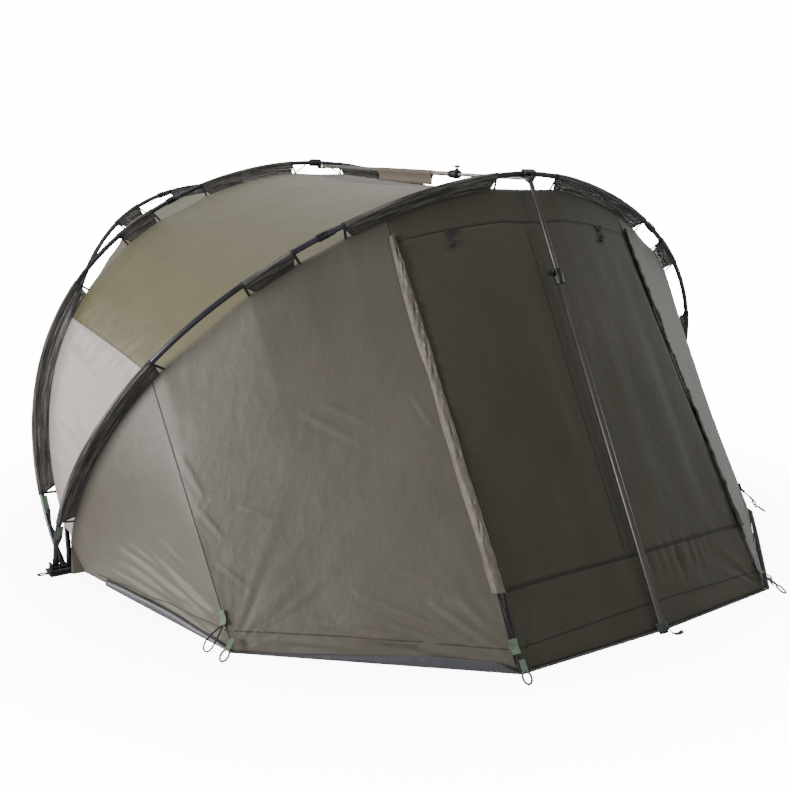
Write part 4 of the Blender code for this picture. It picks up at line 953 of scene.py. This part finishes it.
# bays where the sleeves of the ribs at its edges end, so that the grid has a row there
roofs = {
    "roof": {"cloth": roofCloth, "paint": "roof", "bodies": ("front_rib", "tent"), "node": "roof_panel",
             "bands": roofBands, "rows": 90, "bays": (2, 8, 9, 11, 13, 16, 17)},
    "rear_roof": {"cloth": rearCloth, "paint": "roof", "bodies": ("tent", "rear_rib"),
                  "node": "rear_roof_panel", "bands": roofBands, "rows": 30,
                  "bays": (2, 8, 9, 11, 12, 13, 14, 16, 19)},
    "back": {"cloth": backCloth, "paint": "side", "bodies": ("rear_rib", "tent"), "node": "back_panel",
             "bands": backBands, "rows": 80, "bays": (9, 12, 14, 19)},
}
backGives = 0.6


def foldLine(cloth, place):
    # a line from where the cloth leaves its first rib to where it meets its second, moved onto the middle
    begin, finish = cloth.base(place, 0), cloth.base(place, 1)
    begin.x = finish.x = 0
    return begin, finish


for name, roof in roofs.items():
    cloth, paint = roof["cloth"], roof["paint"]
    first, second = roof["bodies"]
    marks = [side * bay / halfBays for bay in roof["bays"] for side in (-1, 1)] + [-cut["zip"], cut["zip"]]
    for band, (start, end, wide) in roof["bands"].items():
        places = snapped(spaced(start, end, wide), marks)
        rows = [[cloth.point(p, s) for s in spaced(0, 1, roof["rows"])] for p in places]
        panel = gridObject(f"{name}_cloth_{band}", rows, clothThickness)
        # bands meet without a rim, so that no line shows between them
        panel.modifiers["cloth"].use_rim = name == "back"
        # bands below the roof seam take the paler cloth with its painted sheen
        settle(panel, paint if band in ("top", "whole") else "lowRoofPaintedSheen", None, [roof["node"]])
        begin, finish = foldLine(cloth, start if abs(start) > abs(end) else end)
        if name == "back":
            # for the back, the line runs from the hub axis back behind the rib; nothing uses it
            begin, finish = hubAxis.copy(), hubAxis + rear.back * backGives
        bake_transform(panel)
        sheetFacts(panel)
print("roof and back made")


# Seams sewn over the cloth
seams = {"width": 0.0045, "wide": 0.007, "lift": 0.0015, "thickness": 0.001, "doorWidth": 0.003,
         "doorLift": 0.0013, "zipHem": 0.958, "pegHem": 0.93, "hubHem": 0.90, "backHem": 0.95,
         "frontHem": 0.945, "frontHemDrop": 0.05, "doorSeam": -0.02}


def seam(name, cloth, marks, width, paint, body, flattens=False, lift=seams["lift"]):
    path = [cloth.point(p, s, lift) for p, s in marks]
    normals = [cloth.normal(p, s) for p, s in marks]
    obj = newObject(name, *sweptShape(path, strap(width, seams["thickness"]), normals))
    return settle(obj, paint, body, flattens=flattens)


def hemShare(place):
    # the hem's stitching, a little higher at the side peg than at the zip, and highest at the hub
    size = abs(place)
    if size < cut["corner"]:
        part = clamped((size - cut["zip"]) / (cut["corner"] - cut["zip"]))
        return mixed(seams["zipHem"], seams["pegHem"], part)
    part = (size - cut["corner"]) / (cut["hem"] - cut["corner"])
    return mixed(seams["pegHem"], seams["hubHem"], part)


for side, label in bothSides:
    marks = [(side * cut["corner"], s) for s in spaced(0.0, 0.995, 90)]
    seam(f"side_seam_{label}", sideCloth, marks, seams["width"], "sideSeam", "front_rib", True)
    marks = [(side * p, hemShare(p)) for p in spaced(0.93, 0.256, 120)]
    seam(f"side_hem_{label}", sideCloth, marks, seams["width"], "sideSeam", "front_rib", True)
    for name in ("roof", "rear_roof"):
        cloth, (first, second) = roofs[name]["cloth"], roofs[name]["bodies"]
        marks = [(side * cut["roofSeam"], s) for s in spaced(0.0, 1.0, 60)]
        obj = seam(f"{name}_seam_{label}", cloth, marks, seams["width"], "roofSeam", None)
        begin, finish = foldLine(cloth, side * cut["roofSeam"])
        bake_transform(obj)
    marks = [(side * p, seams["backHem"]) for p in spaced(0.93, 0.002, 120)]
    seam(f"back_hem_{label}", backCloth, marks, seams["width"], "sideSeam", "tent")
frontSeams = {
    "head_seam": (headShare, seams["width"]),
    "sill_seam": (lambda p: cut["sill"], seams["wide"]),
    "front_hem": (lambda p: seams["frontHem"] + seams["frontHemDrop"] * abs(p), seams["width"]),
}
for name, (shareOf, width) in frontSeams.items():
    marks = [(p, shareOf(p)) for p in spaced(-0.252, 0.252, 90)]
    seam(name, frontCloth, marks, width, "frontSeam", "front_rib", True)
marks = [(seams["doorSeam"], s) for s in spaced(0.1, 0.84, 60)]
seam("door_seam", frontCloth, marks, seams["doorWidth"], "frontSeam", "door", True, seams["doorLift"])
print("seams made")


# Zips and their covers; the sliders are CAD nodes that stay
def besideZip(side, share, distance, lift):
    # a point at a distance from the zip, outwards over the side cloth or inwards over the door
    place = zipPlace(side, share)
    reach = side * (0.01 if distance > 0 else -0.01)
    here, there = frontCloth.base(place, share), frontCloth.base(place + reach, share)
    part = reach * abs(distance) / (there - here).length if distance else reach / 10
    cloth = sideCloth if distance > 0 else frontCloth
    return cloth.base(place + part, share) + cloth.normal(place + part, share) * lift


flaps = {"start": 0.042, "end": 0.848, "rows": 260, "rise": 0.0125, "least": 0.007, "overSide": 0.033,
         "overDoor": 0.013, "lump": 0.007, "dent": 0.006, "twist": 0.011, "fold": 0.003, "thickness": 0.0009}
tapes = {"aside": 0.0055, "lift": 0.0016, "width": 0.010, "thickness": 0.0008}
teeth = {"every": 0.0032, "lift": 0.0026, "in": -0.001, "out": 0.0034, "height": 0.0014, "half": 0.0009}
toothEnds = ((teeth["in"], teeth["out"], 0, teeth["half"]), (teeth["in"], 0.003, teeth["height"], 0.0007))
tooth = []
for inner, outer, height, half in toothEnds:
    tooth += [(inner, height, -half), (outer, height, -half), (outer, height, half), (inner, height, half)]
toothFaces = ((0, 1, 2, 3), (4, 7, 6, 5), (0, 4, 5, 1), (1, 5, 6, 2), (2, 6, 7, 3), (3, 7, 4, 0))
for side, label in bothSides:
    rows = []
    for share in spaced(flaps["start"], flaps["end"], flaps["rows"]):
        # the roll twists and dents every few centimetres, and narrows at the top
        lump = flaps["lump"] * ripple(share * 15, side * 3, 0) + 0.003 * ripple(share * 44, side, 2)
        lump += flaps["dent"] * (0.25 - abs(ripple(share * 27, side, 7)))
        twist = flaps["twist"] * ripple(share * 11, side * 5, 4) + 0.005 * ripple(share * 31, side, 9)
        lift = max(flaps["least"], flaps["rise"] + lump)
        narrow = 0.35 + 0.4 * min(1.0, (share - flaps["start"]) / 0.14) + 0.09 * ripple(share * 9, side, 5)
        # (distance from the zip, height) across the roll, from the side cloth to the door
        profile = [
            (flaps["overSide"], 0.002), (0.029, 0.0034), (0.024 + twist, 0.007 + lump * 0.6),
            (0.019 + twist, lift - 0.002), (0.013 + twist, lift), (0.007 + twist * 0.6, lift + 0.0006),
            (0.001, lift - lump), (-0.005, lift + 0.0008 - lump * 0.5), (-0.009 + twist * 0.3, lift - 0.001),
            (-flaps["overDoor"] + twist * 0.5, lift - 0.004),
        ]
        row = []
        for i, (distance, height) in enumerate(profile):
            # short slanted folds, but none along the sewn edges
            if 1 < i < len(profile) - 1:
                height += flaps["fold"] * (0.5 - abs(ripple(share * 21 + i * 0.3, side * 3, 1)) * 2)
            row.append(besideZip(side, share, distance * narrow, height))
        rows.append(row)
    flap = gridObject(f"flap_cloth_{label}", rows, flaps["thickness"])
    # the left flap takes the paler copy, painted light, and the right flap the darker copy, painted shade
    settle(flap, "flap" if side < 0 else "shadedRightFlap", "front_rib", [f"zip_flap_{label}"], True)
    sheetFacts(flap)
    shapes = []
    for distance in (tapes["aside"], -tapes["aside"]):
        shares = spaced(0.055, 0.985, 60)
        path = [besideZip(side, s, distance, tapes["lift"]) for s in shares]
        normals = [frontCloth.normal(side * cut["zip"], s) for s in shares]
        shapes.append(sweptShape(path, strap(tapes["width"], tapes["thickness"]), normals))
    settle(together(f"zip_tapes_{label}", shapes), "blackWebbing", "front_rib", flattens=True)
    marks = [besideZip(side, s, 0.0001, teeth["lift"]) for s in spaced(0.06, 0.98, 30)]
    verts, faces, uvs = [], [], []
    normal = frontCloth.normal(side * cut["zip"], 0.5)
    for top, foot in zip(marks, marks[1:]):
        way = (foot - top).normalized()
        count = round((foot - top).length / teeth["every"])
        for i in range(count):
            spot = mixed(top, foot, (i + 0.5) / count)
            beside = way.cross(normal) * (1 if i % 2 else -1)
            base = len(verts)
            verts += [spot + beside * x + normal * y + way * z for x, y, z in tooth]
            uvs += [(x, z) for x, y, z in tooth]
            faces += [tuple(base + k for k in face) for face in toothFaces]
    settle(newObject(f"zip_teeth_{label}", verts, faces, uvs), "zip", "front_rib", flattens=True)
print("zips made")


# Toggles under the head seam that hold the rolled door: two straps that join in one, with a bar on its end
toggles = {"place": 0.184, "lift": 0.003, "join": 0.022, "end": 0.052, "strap": 0.009, "thickness": 0.0022,
           "barRadius": 0.0066, "barLength": 0.036, "neck": 0.72}
for side, label in bothSides:
    place = side * toggles["place"]
    top = frontCloth.point(place, headShare(place), toggles["lift"])
    normal = frontCloth.normal(place, 0.1)
    down = (frontCloth.base(place, 0.3) - frontCloth.base(place, 0.1)).normalized()
    aside = down.cross(normal)
    joinSpot = top + down * toggles["join"] + normal * 0.004
    end = top + down * toggles["end"] + aside * 0.006 + normal * 0.005
    shapes = []
    for begin, finish in ((top - aside * 0.026, joinSpot), (top + aside * 0.017, joinSpot), (joinSpot, end)):
        path = [mixed(begin, finish, s) + normal * 0.003 * math.sin(math.pi * s) for s in spaced(0, 1, 6)]
        shapes.append(strapShape(path, toggles["strap"], toggles["thickness"], normal))
    r, h = toggles["barRadius"], toggles["barLength"] / 2
    profile = mirrored([(r * 0.5, h), (r * 0.9, h - 0.0015), (r, h - 0.004), (r * toggles["neck"], 0.003)])
    shapes.append(turnedShape(profile, frameAt(end, (aside + down * 0.7).normalized(), normal), 20))
    settle(together(f"door_toggle_{label}", shapes), "blackWebbing", "front_rib", flattens=True)
print("toggles made")


# Groundsheet, with its edge turned up outside the hem
ground = {"width": 2.79, "length": 2.91, "thickness": 0.0006, "edgeThickness": 0.0009, "spacing": 0.02,
          "lift": 0.0004, "swell": 0.0013, "peakCorner": 1, "hubX": 1.3, "hubY": 0.2}
hemOutline = [Vector((-x, y, 0)) for _, x, y in frontHem] + [Vector((x, y, 0)) for _, x, y in frontHem[2::-1]]
hemOutline += [Vector((x, y, 0)) for _, x, y in rearHem] + [Vector((-x, y, 0)) for _, x, y in rearHem[2::-1]]
# height of the turned-up edge after each corner of the outline, from the left hub along the front
turnUp = (0.027, 0.030, 0, 0, 0.024, 0.022, 0, 0.022, 0.02, 0.008, 0.008, 0.02, 0.022, 0)
rim, heights = [], []
for i, corner in enumerate(hemOutline):
    following = hemOutline[(i + 1) % len(hemOutline)]
    count = max(2, int((following - corner).length / ground["spacing"]))
    for k in range(count):
        part = k / count
        rim.append(mixed(corner, following, part))
        swell = math.sin(math.pi * part) ** 0.6
        if i == ground["peakCorner"]:
            swell = min(1.0, part * 1.6) * min(1.0, (1 - part) * 12)
        heights.append(turnUp[i] * swell * (0.9 + 0.25 * noise.noise(rim[-1] * 5)))
rows = []
for spot in rim:
    row = []
    for share in (0.002, 0.06, 0.13, 0.21, 0.3, 0.42, 0.55, 0.68, 0.8, 0.9, 0.97, 1.0):
        point = spot * share
        lift = ground["lift"] + ground["swell"] * (0.5 + 0.5 * noise.noise(point * 13)) * min(1.0, share * 2)
        row.append(Vector((point.x, point.y, lift)))
    rows.append(row)
sheetFloor = gridObject("groundsheet_cloth", rows, ground["thickness"], 1, True)
for loop in sheetFloor.data.loops:
    sheetFloor.data.uv_layers[0].data[loop.index].uv = sheetFloor.data.vertices[loop.vertex_index].co.xy
settle(sheetFloor, "sheet", "tent", ["groundsheet"])
rows = []
for spot, height in zip(rim, heights):
    # outwards, but straight up beside the hub blocks
    away = spot.normalized() * (0.0 if abs(spot.x) > ground["hubX"] and abs(spot.y) < ground["hubY"] else 1.0)
    profile = ((0.001, 0.0012), (0.011, 0.0012), (0.0155, 0.0035), (0.0165, 0.004 + height * 0.3),
               (0.0135, 0.004 + height * 0.7), (0.008, 0.0045 + height))
    rows.append([spot + away * out + up * rise for out, rise in profile])
welt = gridObject("groundsheet_edge", rows, ground["edgeThickness"], 1, True)
settle(welt, "sheet", "tent")
print("groundsheet made")


# Brace pole from the front apex block to the ground
storm = {"x": -0.014, "ahead": 0.030, "below": 0.004, "footY": 1.478, "upper": 0.008, "upperBore": 0.0066,
         "upperEnd": 0.53, "lower": 0.012, "lowerBore": 0.0098, "shown": 0.35, "foot": 0.034,
         "chamfer": 0.0005, "tailWidth": 0.016, "tailThickness": 0.0024}
stormTop = front.point(0) - front.back * storm["ahead"] - front.radial * storm["below"] + across * storm["x"]
stormGround = Vector((storm["x"], -storm["footY"], 0))
stormDown = (stormGround - stormTop).normalized()
stormLength = (stormGround - stormTop).length


def onStorm(distance):
    return frameAt(stormTop + stormDown * distance, -stormDown)


eye = mirrored([(0.0034, 0.0065), (0.0088, 0.0065), (0.0095, 0.0058)])
upperTube = [(storm["upperBore"], -0.006), (0.0072, -0.008), (storm["upper"], -0.011),
             (storm["upper"], 0.002 - storm["upperEnd"]), (storm["upperBore"], -storm["upperEnd"])]
shapes = [turnedShape(upperTube, onStorm(0)), turnedShape(eye, frameAt(stormTop, across, up))]
settle(together("storm_upper_tube", shapes), "storm", "storm_upper", ["storm_pole_upper"])
lowerEnd = stormLength - storm["shown"] - storm["foot"]
lowerTube = [(storm["lowerBore"], 0.0), (0.0116, 0.0), (storm["lower"], -storm["chamfer"]),
             (storm["lower"], -lowerEnd), (storm["lowerBore"], -lowerEnd)]
lower = newObject("storm_lower_tube", *turnedShape(lowerTube, onStorm(storm["shown"])))
settle(lower, "storm", "storm_lower", ["storm_pole_lower"])
footProfile = [(0.012, storm["foot"]), (0.0142, 0.033), (0.0146, 0.03), (0.0138, 0.024), (0.0146, 0.022),
               (0.0146, 0.016), (0.0138, 0.014), (0.0146, 0.012), (0.0146, 0.007), (0.0138, 0.0045)]
foot = newObject("storm_rubber_foot", *turnedShape(footProfile, onStorm(stormLength)))
settle(foot, "rubber", "storm_lower", ["storm_foot"])
# webbing tail of the loop that holds the foot
tail = [Vector(spot) for spot in ((-0.012, -1.491, 0.026), (-0.004, -1.496, 0.012), (0.008, -1.5, 0.006),
                                  (0.022, -1.503, 0.005), (0.036, -1.505, 0.011))]
obj = newObject("foot_loop_tail", *strapShape(tail, storm["tailWidth"], storm["tailThickness"], up))
settle(obj, "darkWebbing", "front_rib", flattens=True)
print("brace pole made")


# Peg points: a webbing tab, an elastic loop that hangs from it, and a ring on a tab of its own at the hem
pegParts = {"off": 0.0042, "tabUp": 0.021, "tabDown": 0.022, "tabWidth": 0.024, "tabThickness": 0.0025,
            "hemTabWidth": 0.017, "hemTabThickness": 0.0022, "hold": 0.052, "holdHeight": 0.0034,
            "cord": 0.0054, "cordSwell": 0.019, "cordBow": 0.012, "cordLow": 0.0035, "tipLow": 0.0045,
            "ringLong": 0.0165, "ringWide": 0.0125, "ringTilt": 0.0105, "ringWire": 0.0033, "ringSteps": 44}


def pegPoint(name, node, top, foot, tabHeight, body, flattens, bow):
    rise = (top - foot).normalized()
    away = Vector((foot.x, foot.y, 0)).normalized()
    out = (away - rise * away.dot(rise)).normalized()
    aside = away.cross(up)
    centre = foot + rise * tabHeight / rise.z + out * pegParts["off"]
    path = []
    for s in spaced(0, 1, 16):
        curl = out * (0.0012 * math.sin(8 * s) + 0.009 * s * s * s)
        path.append(centre + rise * mixed(pegParts["tabUp"], -pegParts["tabDown"], s) + curl)
    tab = strapShape(path, pegParts["tabWidth"], pegParts["tabThickness"], out)
    hold = Vector((foot.x, foot.y, pegParts["holdHeight"])) + away * pegParts["hold"]
    # the tab that joins the ring to the hem
    hemEnd, ringEnd = foot + away * 0.006 + up * 0.042, hold - away * 0.0145 + up * 0.021
    path = [mixed(hemEnd, ringEnd, s) for s in spaced(0, 1, 5)]
    hemTab = strapShape(path, pegParts["hemTabWidth"], pegParts["hemTabThickness"], up)
    settle(together(f"{name}_tab", [tab, hemTab]), "webbing", body, [node], flattens)
    start = centre - rise * 0.02 + out * 0.006
    tip = start + bow
    tip.z = pegParts["tipLow"]
    beside = (tip - start).cross(out).normalized() * pegParts["cordSwell"]
    points = []
    for s in spaced(0.02, 0.98, 34):
        swell = (1 - math.cos(2 * math.pi * s)) / 2
        point = mixed(start, tip, swell) + beside * math.sin(2 * math.pi * s) * swell ** 0.5
        point += away * pegParts["cordBow"] * math.sin(math.pi * swell)
        point.z = max(point.z, pegParts["cordLow"])
        points.append(point)
    cord = newObject(f"{name}_loop", *sweptShape(points, circle(pegParts["cord"] / 2, 10)))
    settle(cord, "elastic", body, flattens=flattens)
    run = sum((b - a).length for a, b in zip(points, points[1:]))
    ring = []
    for i in range(pegParts["ringSteps"]):
        turn = 2 * math.pi * i / pegParts["ringSteps"]
        tilt = up * pegParts["ringTilt"] * (1 - math.cos(turn))
        ring.append(hold + away * math.cos(turn) * pegParts["ringLong"] +
                    aside * math.sin(turn) * pegParts["ringWide"] + tilt)
    section = circle(pegParts["ringWire"], 12)
    wire = newObject(f"{name}_ring", *sweptShape(ring, section, [up] * len(ring), None, True))
    settle(wire, "steel", body, flattens=flattens)


# how far each loop hangs from its tab, on the ground
bows = {"side_left": Vector((-0.06, 0.0, 0)), "front_left": Vector((0.012, -0.03, 0)),
        "side_right": Vector((0.05, -0.03, 0)), "front_right": Vector((0.05, -0.01, 0)),
        "rear_left": Vector((-0.03, 0, 0)), "rear_right": Vector((0.03, 0, 0))}
tabHeights = {"side": 0.085, "front": 0.062, "rear": 0.062}
pegSpots = (("side", frontCloth, cut["corner"], "front_rib"), ("front", frontCloth, cut["zip"], "front_rib"),
            ("rear", backCloth, cut["zip"], "tent"))
for side, label in bothSides:
    for word, cloth, mark, body in pegSpots:
        top, foot = cloth.base(side * mark, 0), cloth.base(side * mark, 1)
        pegPoint(f"{word}_{label}_peg", f"{word}_peg_loop_{label}", top, foot, tabHeights[word], body,
                 body == "front_rib", bows[f"{word}_{label}"])
print("peg points made")


# Webbing tabs with a tail where each rib comes out of its lowest sleeve
hubTabs = {"start": 24.1, "end": 24.6, "tail": 25.35, "overlap": 0.1, "inset": 0.004, "ahead": 0.0125,
           "width": 0.019, "thickness": 0.0024, "tailAhead": 0.0175, "tailWidth": 0.007,
           "tailThickness": 0.002}
apexStraps = {"place": 0.9 / halfBays, "edge": 2 / halfBays, "width": 0.006, "thickness": 0.002}
for rib in ribs:
    green, black = [], []
    for side in (-1, 1):
        path = []
        for i, bay in enumerate(spaced(hubTabs["start"], hubTabs["end"], 6)):
            path.append(rib.point(side * bay / halfBays, hubTabs["inset"], hubTabs["ahead"] + 0.004 * i / 6))
        green.append(strapShape(path, hubTabs["width"], hubTabs["thickness"], -rib.back))
        path = []
        for i, bay in enumerate(spaced(hubTabs["end"] - hubTabs["overlap"], hubTabs["tail"], 9)):
            inset = hubTabs["inset"] + 0.003 * math.sin(i)
            ahead = hubTabs["tailAhead"] + 0.002 * math.sin(i * 1.3)
            path.append(rib.point(side * bay / halfBays, inset, ahead))
        black.append(strapShape(path, hubTabs["tailWidth"], hubTabs["tailThickness"], -rib.back))
    settle(together(f"{rib.name}_foot_tabs", green), "webbing", rib.body)
    settle(together(f"{rib.name}_foot_tails", black), "blackWebbing", rib.body)
shapes = []
for side in (-1, 1):
    begin = middle.point(side * apexStraps["place"], 0.01)
    path = [mixed(begin, middle.edge(side * apexStraps["edge"]), s) for s in spaced(0, 1, 6)]
    shapes.append(strapShape(path, apexStraps["width"], apexStraps["thickness"], middle.back))
settle(together("middle_apex_straps", shapes), "blackWebbing", "tent")
print("small straps made")


# Tension bar between the apex blocks, with the cloth wrap that hangs the roof from it
bar = {"x": 0.0205, "clamp": 1.04, "insert": 0.14, "pad": 0.034, "outer": 0.0085, "outerBore": 0.0069,
       "inner": 0.0062, "innerBore": 0.0056, "chamfer": 0.0006, "tongueWidth": 0.014,
       "tongueThickness": 0.006, "wrapFrom": 0.5, "wrapTo": 0.89, "wrapDepth": 0.0455,
       "wrapRadius": 0.0104, "wrapThickness": 0.0009}
barRear = middle.point(0) + Vector((bar["x"], -0.039, -0.016))
barFront = front.point(0) + Vector((bar["x"], 0.038, -0.0145))
barAlong = (barFront - barRear).normalized()
barLength = (barFront - barRear).length
barUp = across.cross(barAlong).normalized()
if barUp.z < 0:
    barUp.negate()


def onBar(distance):
    return frameAt(barRear + barAlong * distance, -barAlong, barUp)


eye = mirrored([(0.0034, 0.0065), (0.0108, 0.0065), (0.0115, 0.0058)])
tube = [(bar["outerBore"], -0.0145), (0.0081, -0.0145), (bar["outer"], -0.015),
        (bar["outer"], 0.0005 - bar["clamp"]), (bar["outerBore"], -bar["clamp"])]
neck = [(0.0076, -0.022), (0.0076, -0.006)]
shapes = [turnedShape(tube, onBar(0)), turnedShape(eye, frameAt(barRear, barUp)), turnedShape(neck, onBar(0))]
settle(together("bar_rear_metal", shapes), "bar", "bar_rear", ["bar_rear_tube"])
start, end = bar["clamp"] - bar["insert"], barLength - bar["pad"] / 2 - 0.002
tube = [(bar["innerBore"], -start), (bar["inner"], -start - bar["chamfer"]),
        (bar["inner"], -end + bar["chamfer"]), (bar["innerBore"], -end)]
tongueAt = onBar(barLength + (bar["pad"] - 0.046) / 2)
tongue = [tongueAt @ Vector((0, 0, z)) for z in (-0.023, -0.0222, 0.0222, 0.023)]
section = strap(bar["tongueWidth"], bar["tongueThickness"])
shapes = [turnedShape(tube, onBar(0)), sweptShape(tongue, section, [barUp] * 4, [0.9, 1, 1, 0.9])]
settle(together("bar_front_metal", shapes), "bar", "bar_front", ["bar_front_tube"])
rows = []
turns = spaced(math.radians(sleeves["mouth"]), math.radians(360 - sleeves["mouth"]), 16)
for distance in spaced(bar["wrapFrom"], bar["wrapTo"], 50):
    centre = barRear + barAlong * distance
    spot = centre * 14
    radius = bar["wrapRadius"] + 0.0005 * noise.noise(spot)
    sway = 0.002 * noise.noise(spot + Vector((3, 0, 0)))
    # the wrap's two layers below the bar, and the turn over it
    tail = [(bar["wrapDepth"], 0.0008), (0.034, 0.001 + sway * 0.6), (0.022, 0.0014 + sway)]
    around = [(radius * math.cos(t), radius * math.sin(t)) for t in turns]
    profile = tail + around + [(depth, x - 0.0022) for depth, x in tail[::-1]]
    rows.append([centre - barUp * depth + across * x for depth, x in profile])
wrap = gridObject("bar_wrap_cloth", rows, bar["wrapThickness"])
settle(wrap, "wrap", "bar_rear", ["bar_wrap"])
sheetFacts(wrap)
print("tension bar made")


# CAD nodes that stay, with their materials
kept = {
    "plastic": ("front_apex_block", "middle_apex_block", "hub_block_left", "hub_block_right", "storm_clamp",
                "storm_knob", "bar_clamp", "bar_knob", "zip_slider_left", "zip_slider_right"),
    "darkWebbing": ("storm_foot_loop",),
}
for paint, names in kept.items():
    for name in names:
        nodes[name].data.materials.clear()
        nodes[name].data.materials.append(paints[paint].material)
print("CAD nodes painted")


# Floor, light and camera
studio = {"white": 16.0, "fill": 0.42, "floorFrom": 1.4, "floorOver": 1.5, "floorHold": 0.42, "floorHalf": 8,
          "floorDrop": 0.0005}
floorPaint = Paint("studio floor")
flatSpot = floorPaint.stretch(floorPaint.spot, (1, 1, 0))
distance = floorPaint.node("VectorMath", {"operation": "LENGTH"}, {0: flatSpot}, "Value")
fade = 1 - floorPaint.clear((distance - studio["floorFrom"]) / studio["floorOver"])
cloud = floorPaint.noise(0.6, 2)
floorPaint.done(colour=floorPaint.mix(cloud * 0.15, (0.86, 0.86, 0.86, 1), (0.83, 0.83, 0.83, 1)), rough=0.9,
                shine=0.1, alpha=fade * fade * studio["floorHold"])
corners = [(x * studio["floorHalf"], y * studio["floorHalf"], -studio["floorDrop"])
           for x, y in ((-1, -1), (1, -1), (1, 1), (-1, 1))]
studioFloor = newObject("studio_floor", corners, [(0, 1, 2, 3)])
studioFloor.data.materials.append(floorPaint.material)
# a white background for the camera, and a soft fill on the tent
world = bpy.data.worlds.new("studio")
bpy.context.scene.world = world
world.use_nodes = True
background = world.node_tree.nodes["Background"]
background.inputs["Color"].default_value = (1.0, 1.0, 1.0, 1)
seen = world.node_tree.nodes.new("ShaderNodeLightPath")
strength = world.node_tree.nodes.new("ShaderNodeMath")
strength.operation = "MULTIPLY_ADD"
world.node_tree.links.new(seen.outputs["Is Camera Ray"], strength.inputs[0])
strength.inputs[1].default_value = studio["white"] - studio["fill"]
strength.inputs[2].default_value = studio["fill"]
world.node_tree.links.new(strength.outputs["Value"], background.inputs["Strength"])

lights = {
    "key_left": {"place": (-6.2, -0.25, 1.7), "target": (-0.6, -0.3, 0.5), "size": (3.2, 1.2), "power": 410,
                 "colour": (1.0, 0.97, 0.95)},
    "rim_left": {"place": (-5.0, 3.6, 2.2), "target": (-0.6, 0, 0.6), "size": (2.5, 2.5), "power": 160,
                 "colour": (1.0, 0.96, 0.95)},
    "top_soft": {"place": (0.5, 0.5, 5.5), "target": (0, 0, 0.5), "size": (5, 5), "power": 70},
    "right_soft": {"place": (5.4, -2.0, 2.2), "target": (0.4, -1.0, 0.6), "size": (1.2, 1.2), "power": 60},
    "front_soft": {"place": (-0.6, -6.5, 2.6), "target": (0, -1.2, 0.7), "size": (2.5, 1.5), "power": 34},
}
for name, light in lights.items():
    data = bpy.data.lights.new(name, "AREA")
    data.shape = "RECTANGLE"
    data.size, data.size_y = light["size"]
    data.energy = light["power"]
    data.color = light.get("colour", (1, 1, 1))
    obj = bpy.data.objects.new(name, data)
    obj.location = light["place"]
    beam = Vector(light["target"]) - Vector(light["place"])
    obj.rotation_euler = beam.to_track_quat("-Z", "Y").to_euler()
    bpy.context.scene.collection.objects.link(obj)

camera = {"azimuth": -32.87, "elevation": 12.27, "roll": 0.3346, "lens": 43.249, "sensor": 36,
          "place": Vector((-2.16646, -3.28099, 1.32894))}
data = bpy.data.cameras.new("photo_camera")
data.lens = camera["lens"]
data.sensor_width = camera["sensor"]
data.dof.use_dof = False
eyePoint = bpy.data.objects.new("photo_camera", data)
turn, rise, roll = (math.radians(camera[key]) for key in ("azimuth", "elevation", "roll"))
back = Vector((math.sin(turn) * math.cos(rise), -math.cos(turn) * math.cos(rise), math.sin(rise)))
right = up.cross(back).normalized()
top = back.cross(right)
rightRolled = right * math.cos(roll) + top * math.sin(roll)
topRolled = -right * math.sin(roll) + top * math.cos(roll)
turned = Matrix((rightRolled, topRolled, back)).transposed().to_4x4()
eyePoint.matrix_world = Matrix.Translation(camera["place"]) @ turned
bpy.context.scene.collection.objects.link(eyePoint)
bpy.context.scene.camera = eyePoint
print("stage made")
